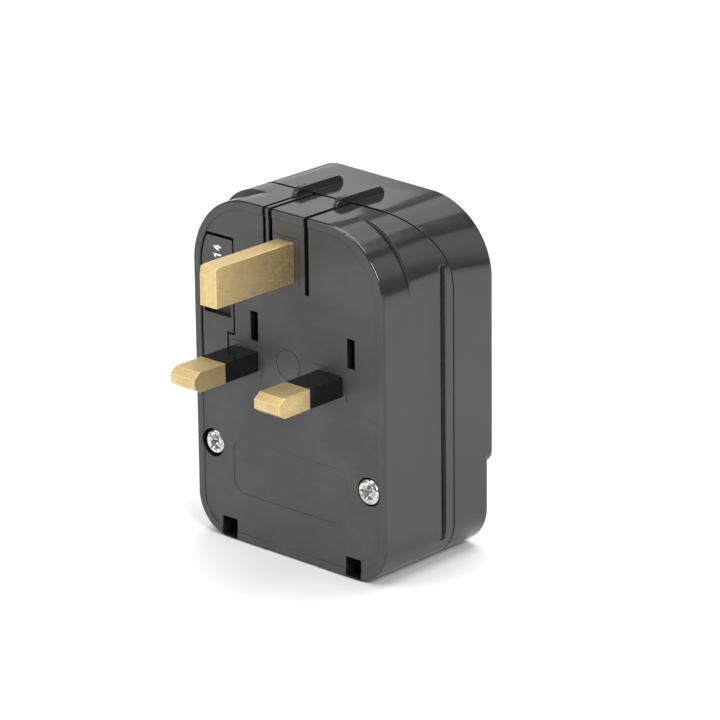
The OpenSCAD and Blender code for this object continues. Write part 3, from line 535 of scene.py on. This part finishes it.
# Sizes of the solids: the case, the ledge behind the face, and each shell's corner
CASE_HALF = 25 * MM
CASE_TOP = 31.7 * MM
LEDGE_Y = 7.2 * MM
FRONT_RADIUS = 11 * MM
COVER_RADIUS = 14.5 * MM

# The joint between the shells: its place at the top and down the side, where it bends, and its clearance
PARTING_TOP_Y = 12.4 * MM
PARTING_SIDE_Y = 19.4 * MM
PARTING_BEND_Z = 16 * MM
PARTING_GAP = 0.2 * MM

# Side of the square that holds the corner, the reach from its centre within which a new radius moves
# nothing, and the depth below the outline that it moves in full
CORNER_SPAN = 16 * MM
STILL_REACH = 8 * MM
WALL = 3 * MM

# How near a point lies to the joint, to the ledge and to the outline to count as being on it
ON_JOINT = 0.03 * MM
ON_LEDGE = 0.01 * MM
ON_OUTLINE = 0.1 * MM

# The top falls more on the right than on the left, and faster towards the back
FALL_TILT = 1.3
FALL_CURVE = 1.5


def corner_reach(along_x, along_z, radius):
    """Distance from the corner's centre to an outline with this corner radius, in this direction."""
    offset = CORNER_SPAN - radius
    if along_x > 0 and along_z / along_x * CORNER_SPAN <= offset:
        return CORNER_SPAN / along_x
    if along_z > 0 and along_x / along_z * CORNER_SPAN <= offset:
        return CORNER_SPAN / along_z
    middle = offset * (along_x + along_z)
    return middle + math.sqrt(middle**2 - 2 * offset**2 + radius**2)


def parting_y(z, gap):
    """Where the joint between the shells lies at this height."""
    if z <= PARTING_BEND_Z:
        return PARTING_SIDE_Y + gap
    fall = PARTING_SIDE_Y - PARTING_TOP_Y
    bend = (fall**2 + (CASE_TOP - PARTING_BEND_Z) ** 2) / (2 * fall)
    return PARTING_SIDE_Y - bend + math.sqrt((bend + gap) ** 2 - (z - PARTING_BEND_Z) ** 2)


def corner_normal(along_x, along_z, radius):
    """Which way the outline looks, in this direction from the corner's centre."""
    reach = corner_reach(along_x, along_z, radius)
    offset = CORNER_SPAN - radius
    return Vector((max(0, reach * along_x - offset), max(0, reach * along_z - offset))).normalized()


def corner_direction(point):
    """Direction and distance of a point from the right corner's centre, or nothing outside the corner."""
    away = Vector((point.x - (CASE_HALF - CORNER_SPAN), point.z - (CASE_TOP - CORNER_SPAN)))
    if away.x <= 0 or away.y <= 0:
        return None
    return away.normalized(), away.length


def move_corner(point, old_radius, new_radius):
    """Moves a point of the right corner from one radius to another.

    Points near the corner's centre stay and those in the outer wall move in full. It returns the outline's
    old and new normals.
    """
    found = corner_direction(point)
    if not found:
        return None
    along, distance = found
    old_reach = corner_reach(*along, old_radius)
    share = min(1.0, max(0.0, (distance - STILL_REACH) / (old_reach - WALL - STILL_REACH)))
    shift = share * (corner_reach(*along, new_radius) - old_reach)
    point.x += along.x * shift
    point.z += along.y * shift
    return corner_normal(*along, old_radius), corner_normal(*along, new_radius)


def reshape(node, move, finish_name):
    """Replaces a shell by its own faces with their points moved, and turns their shading with the outline."""
    source = NODES[node].data
    points = [vertex.co.copy() for vertex in source.vertices]
    turns = [move(point) for point in points]
    normals = []
    follows_outline = 0.9
    for corner, loop in zip(source.corner_normals, source.loops):
        normal = Vector(corner.vector)
        turn = turns[loop.vertex_index]
        if turn:
            flat = Vector((normal.x, normal.z))
            if abs(flat.dot(turn[0])) > follows_outline:
                flat = turn[1] * math.copysign(flat.length, flat.dot(turn[0]))
                normal = Vector((flat.x, normal.y, flat.y))
        normals.append(normal)
    mesh = bpy.data.meshes.new(node + ".dressed")
    mesh.from_pydata(points, [], [tuple(face.vertices) for face in source.polygons])
    mesh.normals_split_custom_set(normals)
    piece = place_piece(mesh.name, mesh, BODY_OF[node], finish_name)
    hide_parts(node)


class PlasticSettings(bpy.types.PropertyGroup):
    """Colours and gloss of the moulded parts, the ceramic and the ink."""

    case_colour: FloatVectorProperty(
        name="Case colour", description="Colour of the moulded case, the drawer and the earth insert",
        subtype="COLOR", size=3, min=0, max=1, default=(0.012, 0.012, 0.013),
    )
    face_colour: FloatVectorProperty(
        name="Face colour", description="Colour of the textured faces that look towards the pins",
        subtype="COLOR", size=3, min=0, max=1, default=(0.042, 0.042, 0.043),
    )
    inner_colour: FloatVectorProperty(
        name="Inner colour", description="Colour of the insulating plate inside", subtype="COLOR",
        size=3, min=0, max=1, default=(0.045, 0.045, 0.047),
    )
    sleeve_colour: FloatVectorProperty(
        name="Sleeve colour", description="Colour of the pins' insulating sleeves", subtype="COLOR",
        size=3, min=0, max=1, default=(0.003, 0.003, 0.0035),
    )
    ceramic_colour: FloatVectorProperty(
        name="Ceramic colour", description="Colour of the fuse body", subtype="COLOR",
        size=3, min=0, max=1, default=(0.86, 0.83, 0.76),
    )
    ink_colour: FloatVectorProperty(
        name="Ink colour", description="Colour of the number on the drawer", subtype="COLOR",
        size=3, min=0, max=1, default=(0.86, 0.86, 0.84),
    )
    case_gloss: FloatProperty(
        name="Case roughness", description="Roughness of the moulded case, lower is glossier",
        subtype="FACTOR", min=0.05, max=0.8, default=0.12,
    )
    face_gloss: FloatProperty(
        name="Face roughness", description="Roughness of the faces that look towards the pins",
        subtype="FACTOR", min=0.05, max=0.8, default=0.6,
    )
    face_edge: FloatProperty(
        name="Face edge radius", description="How far sharp edges on the face look rounded",
        subtype="DISTANCE", unit="LENGTH", min=0.02 * MM, max=0.4 * MM, default=0.08 * MM, precision=6,
    )
    case_edge: FloatProperty(
        name="Case edge radius", description="How far the case's sharp edges look rounded",
        subtype="DISTANCE", unit="LENGTH", min=0.02 * MM, max=0.4 * MM, default=0.22 * MM, precision=6,
    )


class FormSettings(bpy.types.PropertyGroup):
    """Form of the case's top right corner."""

    joint_radius: FloatProperty(
        name="Corner at the joint", description="Radius of the top right corner where the shells meet",
        subtype="DISTANCE", unit="LENGTH", min=11 * MM, max=14.5 * MM, default=12.8 * MM, precision=5,
    )
    back_radius: FloatProperty(
        name="Corner at the back", description="Radius of the top right corner at the cover's back",
        subtype="DISTANCE", unit="LENGTH", min=12 * MM, max=15.9 * MM, default=15.5 * MM, precision=5,
    )
    joint_shadow: FloatProperty(
        name="Joint shadow", description="How much wider the shells' joint looks there than its clearance",
        subtype="DISTANCE", unit="LENGTH", min=0, max=0.4 * MM, default=0.2 * MM, precision=6,
    )
    back_fall: FloatProperty(
        name="Fall of the top", description="How far the cover's top falls to its back, in the middle",
        subtype="DISTANCE", unit="LENGTH", min=0, max=1 * MM, default=0.45 * MM, precision=5,
    )


class MetalSettings(bpy.types.PropertyGroup):
    """Colours and wear of the metal parts."""

    brass_colour: FloatVectorProperty(
        name="Brass colour", description="Clean brass of the pins", subtype="COLOR",
        size=3, min=0, max=1, default=(0.76, 0.585, 0.295),
    )
    tarnish_colour: FloatVectorProperty(
        name="Tarnish colour", description="Tarnished brass", subtype="COLOR",
        size=3, min=0, max=1, default=(0.40, 0.28, 0.11),
    )
    bronze_colour: FloatVectorProperty(
        name="Bronze colour", description="Contact tubes, links and fuse clips", subtype="COLOR",
        size=3, min=0, max=1, default=(0.80, 0.58, 0.33),
    )
    nickel_colour: FloatVectorProperty(
        name="Nickel colour", description="Plated screws, hinge pins and fuse caps", subtype="COLOR",
        size=3, min=0, max=1, default=(0.74, 0.74, 0.73),
    )
    steel_colour: FloatVectorProperty(
        name="Steel colour", description="Retaining rings", subtype="COLOR",
        size=3, min=0, max=1, default=(0.56, 0.56, 0.57),
    )
    tarnish: FloatProperty(
        name="Tarnish", description="How much of the pins is tarnished",
        subtype="FACTOR", min=0, max=1, default=0.55,
    )
    brass_gloss: FloatProperty(
        name="Brass roughness", description="Roughness of the pins' clean brass, lower is glossier",
        subtype="FACTOR", min=0.1, max=0.7, default=0.44,
    )
    pin_edge: FloatProperty(
        name="Pin edge radius", description="How far the pins' sharp edges look rounded",
        subtype="DISTANCE", unit="LENGTH", min=0.02 * MM, max=0.3 * MM, default=0.2 * MM, precision=6,
    )
    thread_pitch: FloatProperty(
        name="Thread pitch", description="Pitch of the cover screws' thread",
        subtype="DISTANCE", unit="LENGTH", min=0.3 * MM, max=1 * MM, default=0.5 * MM, precision=6,
    )


class NumberSettings(bpy.types.PropertyGroup):
    """The plain number on the fuse drawer."""

    digits: StringProperty(
        name="Number", description="Digits 1 and 4, read upwards along the drawer", default="14",
    )
    height: FloatProperty(
        name="Digit height", description="Height of each digit, across the drawer",
        subtype="DISTANCE", unit="LENGTH", min=1 * MM, max=4 * MM, default=1.85 * MM, precision=5,
    )
    stroke: FloatProperty(
        name="Stroke width", description="Width of a digit's strokes",
        subtype="DISTANCE", unit="LENGTH", min=0.2 * MM, max=0.8 * MM, default=0.32 * MM, precision=5,
    )
    start_rise: FloatProperty(
        name="Start of the number", description="Distance of the first digit below the top of the drawer",
        subtype="DISTANCE", unit="LENGTH", min=2 * MM, max=12 * MM, default=4.2 * MM, precision=5,
    )
    inset: FloatProperty(
        name="Inset of the number", description="Distance of the digits' feet from the drawer's right side",
        subtype="DISTANCE", unit="LENGTH", min=0.5 * MM, max=6 * MM, default=3.1 * MM, precision=5,
    )


class StudioSettings(bpy.types.PropertyGroup):
    """Camera and light."""

    azimuth: FloatProperty(
        name="Camera azimuth", description="Direction of the camera round the part, from straight in front",
        subtype="ANGLE", unit="ROTATION", default=math.radians(42.71),
    )
    elevation: FloatProperty(
        name="Camera elevation", description="How steeply the camera looks down at the part",
        subtype="ANGLE", unit="ROTATION", default=math.radians(19.39),
    )
    roll: FloatProperty(
        name="Camera roll", description="Tilt of the camera about its own axis",
        subtype="ANGLE", unit="ROTATION", default=math.radians(-0.62),
    )
    distance: FloatProperty(
        name="Camera distance", description="Distance from the camera to the part's origin",
        subtype="DISTANCE", unit="LENGTH", default=828.85 * MM,
    )
    lens: FloatProperty(
        name="Focal length", description="Focal length of the camera in millimetres",
        default=215.95, min=20, max=500,
    )
    side_shift: FloatProperty(
        name="Camera shift across", description="How far the part's origin stands beside the view's middle",
        subtype="DISTANCE", unit="LENGTH", default=-13.74 * MM,
    )
    height_shift: FloatProperty(
        name="Camera shift up", description="How far the part's origin stands above the view's middle",
        subtype="DISTANCE", unit="LENGTH", default=-1.99 * MM,
    )
    floor_radius: FloatProperty(
        name="Floor radius", description="Radius of the pale floor, which reaches past low views",
        subtype="DISTANCE", unit="LENGTH", default=4.0,
    )
    floor_colour: FloatVectorProperty(
        name="Floor colour", description="Colour of the floor",
        subtype="COLOR", size=3, min=0, max=1, default=(0.76, 0.76, 0.76),
    )
    light: FloatProperty(
        name="Light level", description="Factor on every lamp", subtype="FACTOR", min=0, max=4, default=1.0,
    )


# Operators: one for each piece or group of like pieces, and one for the studio.


class ADAPTER_OT_case_shells(bpy.types.Operator):
    """Refines the top right corner of the front housing and the rear cover, and finishes both"""

    bl_idname = "adapter.case_shells"
    bl_label = "Case Shells"

    def execute(self, context):
        form = context.scene.adapter_form
        back_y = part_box("rear_cover")[1].y

        def move_front(point):
            found = corner_direction(point)
            if not found or point.y < LEDGE_Y - ON_LEDGE:
                return None
            along, distance = found
            if distance <= corner_reach(*along, FRONT_RADIUS) - ON_OUTLINE:
                return None
            on_joint = abs(point.y - parting_y(point.z, 0)) < ON_JOINT
            turn = move_corner(point, FRONT_RADIUS, form.joint_radius)
            if on_joint:
                point.y = parting_y(point.z, 0)
            return turn

        def move_cover(point):
            on_joint = abs(point.y - parting_y(point.z, PARTING_GAP)) < ON_JOINT
            back = min(1.0, max(0.0, (point.y - PARTING_TOP_Y) / (back_y - PARTING_TOP_Y)))
            radius = form.joint_radius + back * (form.back_radius - form.joint_radius)
            turn = move_corner(point, COVER_RADIUS, radius)
            height = min(1.0, max(0.0, (point.z - (CASE_TOP - CORNER_SPAN)) / CORNER_SPAN))
            to_the_right = 1 + FALL_TILT * point.x / CASE_HALF
            point.z -= form.back_fall * back**FALL_CURVE * to_the_right * height
            if on_joint:
                point.y = parting_y(point.z, PARTING_GAP + form.joint_shadow)
            return turn

        reshape("front_housing", move_front, "case black")
        reshape("rear_cover", move_cover, "case black")
        return {"FINISHED"}


class ADAPTER_OT_earth_insert(bpy.types.Operator):
    """Finishes the insert that carries the earth pin"""

    bl_idname = "adapter.earth_insert"
    bl_label = "Earth Insert"

    def execute(self, context):
        keep("earth_pin_carrier", "case black")
        return {"FINISHED"}


class ADAPTER_OT_fuse_drawer(bpy.types.Operator):
    """Finishes the fuse drawer"""

    bl_idname = "adapter.fuse_drawer"
    bl_label = "Fuse Drawer"

    def execute(self, context):
        keep("fuse_drawer", "case black")
        return {"FINISHED"}


DIGIT_STROKES = {
    "1": [((0.30, 0.0), (0.30, 1.0)), ((0.30, 1.0), (0.08, 0.76))],
    "4": [((0.36, 0.0), (0.36, 1.0)), ((0.36, 1.0), (0.0, 0.33)), ((0.0, 0.33), (0.52, 0.33))],
}
DIGIT_GAP = 0.5
INK_RISE = 0.04 * MM
INK_DEPTH = 0.1 * MM


class ADAPTER_OT_drawer_number(bpy.types.Operator):
    """Inks the plain number on the drawer's face, reading upwards"""

    bl_idname = "adapter.drawer_number"
    bl_label = "Drawer Number"

    def execute(self, context):
        number = context.scene.adapter_number
        low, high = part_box("fuse_drawer")
        foot_x = high.x - number.inset
        rise = high.z - number.start_rise
        shell = bmesh.new()
        for digit in number.digits:
            if digit not in DIGIT_STROKES:
                raise ValueError(f"The number has only the digits {sorted(DIGIT_STROKES)}, not {digit!r}")
            width = 0.0
            for start, end in DIGIT_STROKES[digit]:
                width = max(width, start[0], end[0])
                first, last = (
                    Vector((foot_x - up * number.height, 0, rise + along * number.height))
                    for along, up in (start, end)
                )
                along = (last - first).normalized() * number.stroke / 2
                across = along.cross(Vector((0, 1, 0)))
                near, far = first - along, last + along
                ring = [near - across, near + across, far + across, far - across]
                top = [shell.verts.new(corner + Vector((0, low.y - INK_RISE, 0))) for corner in ring]
                base = [shell.verts.new(corner + Vector((0, low.y + INK_DEPTH, 0))) for corner in ring]
                shell.faces.new(top)
                shell.faces.new(list(reversed(base)))
                for side in range(4):
                    after = (side + 1) % 4
                    shell.faces.new((top[side], base[side], base[after], top[after]))
            rise += (width + DIGIT_GAP) * number.height
        bmesh.ops.recalc_face_normals(shell, faces=shell.faces)
        piece = add_piece("drawer_number", shell, "drawer", "number ink")
        round_edges(piece, 0.03 * MM)
        return {"FINISHED"}


class ADAPTER_OT_pins(bpy.types.Operator):
    """Finishes the three brass pins"""

    bl_idname = "adapter.pins"
    bl_label = "Pins"

    def execute(self, context):
        for node in ("earth_pin", "live_pin", "neutral_pin"):
            keep(node, "pin brass")
        return {"FINISHED"}


class ADAPTER_OT_pin_sleeves(bpy.types.Operator):
    """Finishes the insulating sleeves"""

    bl_idname = "adapter.pin_sleeves"
    bl_label = "Pin Sleeves"

    def execute(self, context):
        for node in ("live_pin_sleeve", "neutral_pin_sleeve"):
            keep(node, "sleeve black")
        return {"FINISHED"}


class ADAPTER_OT_cover_screws(bpy.types.Operator):
    """Cuts a thread on the captive cover screws and finishes them with their retaining rings"""

    bl_idname = "adapter.cover_screws"
    bl_label = "Cover Screws"

    def execute(self, context):
        pitch = context.scene.adapter_metal.thread_pitch
        crest = 1.5 * MM
        core = crest - 0.6 * pitch
        neck, overlap, lead_in = 0.6 * MM, 0.3 * MM, 0.1 * MM
        tip_length, tip_step = 0.5 * MM, 0.4 * MM
        for side in ("left", "right"):
            node = side + "_cover_screw"
            low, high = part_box(node)
            axis_at = ((low.x + high.x) / 2, (low.z + high.z) / 2)
            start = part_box(side + "_retaining_ring")[1].y + neck
            cylinder_start, tip = start - overlap, high.y - tip_length
            shell = bmesh.new()
            shell.from_mesh(NODES[node].data)
            bmesh.ops.remove_doubles(shell, verts=shell.verts, dist=WELD)
            everything = [*shell.verts, *shell.edges, *shell.faces]
            bmesh.ops.bisect_plane(
                shell, geom=everything, plane_co=(0, start, 0), plane_no=(0, 1, 0), clear_outer=True
            )
            bmesh.ops.holes_fill(shell, edges=[edge for edge in shell.edges if edge.is_boundary])
            shank = [(0, cylinder_start), (core, cylinder_start), (core, tip)]
            shank += [(core - tip_step, high.y), (0, high.y)]
            lathe(shell, shank, axis_at)
            thread(shell, axis_at, start + lead_in, tip, core, crest, pitch)
            bmesh.ops.recalc_face_normals(shell, faces=shell.faces)
            piece = add_piece(node + ".dressed", shell, BODY_OF[node], "screw nickel")
            piece.data.set_sharp_from_angle(angle=SHARP_ANGLE)
            even_shading(piece)
            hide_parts(node)
            dress(side + "_retaining_ring", "ring steel", 0.06 * MM)
        return {"FINISHED"}


class ADAPTER_OT_fuse(bpy.types.Operator):
    """Finishes the fuse: its ceramic body and its two plated caps"""

    bl_idname = "adapter.fuse"
    bl_label = "Fuse"

    def execute(self, context):
        dress("fuse_body", "fuse ceramic", 0.1 * MM)
        dress("fuse_caps", "cap nickel", 0.15 * MM)
        return {"FINISHED"}


class ADAPTER_OT_fuse_clips(bpy.types.Operator):
    """Finishes the two fuse clips with their arms"""

    bl_idname = "adapter.fuse_clips"
    bl_label = "Fuse Clips"

    def execute(self, context):
        for node in ("upper_fuse_clip", "lower_fuse_clip"):
            dress(node, "contact bronze", 0.04 * MM)
        return {"FINISHED"}


class ADAPTER_OT_contacts(bpy.types.Operator):
    """Finishes the contact tubes, the neutral link and the rivets"""

    bl_idname = "adapter.contacts"
    bl_label = "Contacts"

    def execute(self, context):
        for node in ("live_contact", "neutral_contact", "neutral_link"):
            dress(node, "contact bronze", 0.05 * MM)
        dress("link_rivets", "turned brass", 0.08 * MM)
        return {"FINISHED"}


class ADAPTER_OT_contact_plate(bpy.types.Operator):
    """Finishes the insulating plate and its three screws"""

    bl_idname = "adapter.contact_plate"
    bl_label = "Contact Plate"

    def execute(self, context):
        keep("contact_carrier", "inner black")
        dress("carrier_screws", "screw nickel", 0.06 * MM)
        return {"FINISHED"}


class ADAPTER_OT_hinge_and_inserts(bpy.types.Operator):
    """Finishes the hinge pins and the threaded brass inserts"""

    bl_idname = "adapter.hinge_and_inserts"
    bl_label = "Hinge Pins and Inserts"

    def execute(self, context):
        dress("hinge_pins", "screw nickel", 0.06 * MM)
        dress("threaded_inserts", "turned brass", 0.08 * MM)
        return {"FINISHED"}


def aim(obj, at):
    """Stands the object at a point and turns it to look at the part's origin."""
    away = Vector(at).normalized()
    across = Vector((0, 0, 1)).cross(away).normalized()
    up = away.cross(across)
    obj.matrix_world = Matrix.Translation(at) @ Matrix((across, up, away)).transposed().to_4x4()


def softbox(name, azimuth, elevation, distance, size, power):
    """A rectangular lamp that looks at the part; azimuth 0 is behind it and 90 to its right."""
    turn, tilt = math.radians(azimuth), math.radians(elevation)
    lamp = bpy.data.lights.new(name, "AREA")
    lamp.shape = "RECTANGLE"
    lamp.size, lamp.size_y = size
    lamp.energy = power * bpy.context.scene.adapter_studio.light
    box = bpy.data.objects.new(name, lamp)
    bpy.context.scene.collection.objects.link(box)
    flat = math.cos(tilt)
    aim(box, distance * Vector((math.sin(turn) * flat, math.cos(turn) * flat, math.sin(tilt))))


# Each lamp's name, azimuth, elevation, distance, size across and upwards, and power
LAMPS = (
    ("overhead softbox", -10, 75, 1.3, (1.3, 1.3), 22),
    ("rear left panel", -46, 13, 1.5, (1.0, 0.45), 0.96),
    ("rear top panel", -16, 42, 1.5, (0.75, 0.42), 0.92),
    ("rear right panel", 36, 20, 1.5, (0.4, 0.9), 0.85),
    ("front left softbox", -150, 40, 1.4, (0.8, 0.8), 9),
    ("front right fill", 110, 35, 1.6, (0.7, 0.7), 19),
)


class ADAPTER_OT_studio(bpy.types.Operator):
    """Sets the camera, the pale floor and the soft lamps"""

    bl_idname = "adapter.studio"
    bl_label = "Studio"

    def execute(self, context):
        self.set_camera(context)
        self.lay_floor(context)
        self.hang_lamps(context)
        return {"FINISHED"}

    def set_camera(self, context):
        """Stands the camera where the settings say and makes it the scene's own."""
        studio = context.scene.adapter_studio
        lens = bpy.data.cameras.new("camera")
        lens.sensor_width = 36
        lens.lens = studio.lens
        lens.clip_start, lens.clip_end = 0.05, 10
        camera = bpy.data.objects.new("camera", lens)
        context.scene.collection.objects.link(camera)
        away = Vector(
            (
                math.sin(studio.azimuth) * math.cos(studio.elevation),
                -math.cos(studio.azimuth) * math.cos(studio.elevation),
                math.sin(studio.elevation),
            )
        )
        across = (-away).cross(Vector((0, 0, 1))).normalized()
        up = across.cross(-away)
        cosine, sine = math.cos(studio.roll), math.sin(studio.roll)
        across, up = cosine * across + sine * up, cosine * up - sine * across
        place = -studio.side_shift * across - studio.height_shift * up + studio.distance * away
        camera.matrix_world = Matrix.Translation(place) @ Matrix((across, up, away)).transposed().to_4x4()
        context.scene.camera = camera

    def lay_floor(self, context):
        """Lays a round, faintly clouded floor under the part."""
        studio = context.scene.adapter_studio
        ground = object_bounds()[0][2]
        cloud_size = 60 * MM
        material, tree, shader = start_finish("studio floor")
        clouds = grain(tree, part_coords(tree), cloud_size, 2)
        colour = tuple(studio.floor_colour)
        tree.links.new(two_tone(tree, clouds, shade(colour, 0.99), colour), shader.inputs["Base Color"])
        shader.inputs["Roughness"].default_value = 0.7
        shader.inputs["Specular IOR Level"].default_value = 0.2
        shell = bmesh.new()
        middle = shell.verts.new((0, 0, ground))
        count = 72
        rings = []
        for share in (0.04, 0.15, 1.0):
            radius = share * studio.floor_radius
            ring = []
            for step in range(count):
                turn = math.tau * step / count
                ring.append(shell.verts.new((radius * math.cos(turn), radius * math.sin(turn), ground)))
            rings.append(ring)
        for step in range(count):
            after = (step + 1) % count
            shell.faces.new((middle, rings[0][step], rings[0][after]))
            for inner, outer in zip(rings, rings[1:]):
                shell.faces.new((inner[step], outer[step], outer[after], inner[after]))
        mesh = bpy.data.meshes.new("studio_floor")
        shell.to_mesh(mesh)
        shell.free()
        mesh.materials.append(material)
        floor = bpy.data.objects.new("studio_floor", mesh)
        context.scene.collection.objects.link(floor)
        floor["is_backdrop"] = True

    def hang_lamps(self, context):
        """Hangs the lamps in their order and fills the air with faint light."""
        for lamp in LAMPS:
            softbox(*lamp)
        world = bpy.data.worlds.new("studio air")
        world.use_nodes = True
        background = world.node_tree.nodes["Background"]
        background.inputs["Color"].default_value = (0.97, 0.98, 1, 1)
        background.inputs["Strength"].default_value = 0.3
        context.scene.world = world
        context.scene.view_settings.view_transform = "Standard"


PIECE_OPERATORS = (
    ADAPTER_OT_case_shells,
    ADAPTER_OT_earth_insert,
    ADAPTER_OT_fuse_drawer,
    ADAPTER_OT_drawer_number,
    ADAPTER_OT_pins,
    ADAPTER_OT_pin_sleeves,
    ADAPTER_OT_cover_screws,
    ADAPTER_OT_fuse,
    ADAPTER_OT_fuse_clips,
    ADAPTER_OT_contacts,
    ADAPTER_OT_contact_plate,
    ADAPTER_OT_hinge_and_inserts,
    ADAPTER_OT_studio,
)
SETTINGS = {
    "adapter_form": FormSettings,
    "adapter_plastic": PlasticSettings,
    "adapter_metal": MetalSettings,
    "adapter_number": NumberSettings,
    "adapter_studio": StudioSettings,
}


class ADAPTER_PT_dressing(bpy.types.Panel):
    """Lists the operators and the settings they use"""

    bl_idname = "ADAPTER_PT_dressing"
    bl_label = "Travel Adapter"
    bl_space_type = "VIEW_3D"
    bl_region_type = "UI"
    bl_category = "Adapter"

    def draw(self, context):
        for operator in PIECE_OPERATORS:
            self.layout.operator(operator.bl_idname)
        for group in SETTINGS:
            settings = getattr(context.scene, group)
            for setting in settings.bl_rna.properties:
                if setting.identifier not in ("name", "rna_type"):
                    self.layout.prop(settings, setting.identifier)


CLASSES = (*SETTINGS.values(), *PIECE_OPERATORS, ADAPTER_PT_dressing)


def register():
    """Makes the settings, the operators and the panel known to Blender."""
    for each in CLASSES:
        bpy.utils.register_class(each)
    for group, settings in SETTINGS.items():
        setattr(bpy.types.Scene, group, PointerProperty(type=settings))


def unregister():
    """Takes them back out, in the other order."""
    for group in SETTINGS:
        delattr(bpy.types.Scene, group)
    for each in reversed(CLASSES):
        bpy.utils.unregister_class(each)


def clear_startup_objects():
    """Removes what a new file holds besides the frame."""
    kept = {*NODES.values(), *frame["bodies"].values()}
    for obj in list(bpy.data.objects):
        if obj not in kept:
            bpy.data.objects.remove(obj)


def main():
    """Makes every piece in order, then the studio."""
    register()
    clear_startup_objects()
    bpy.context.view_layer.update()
    for operator in PIECE_OPERATORS:
        group, name = operator.bl_idname.split(".")
        getattr(getattr(bpy.ops, group), name)()


if __name__ == "__main__":
    main()
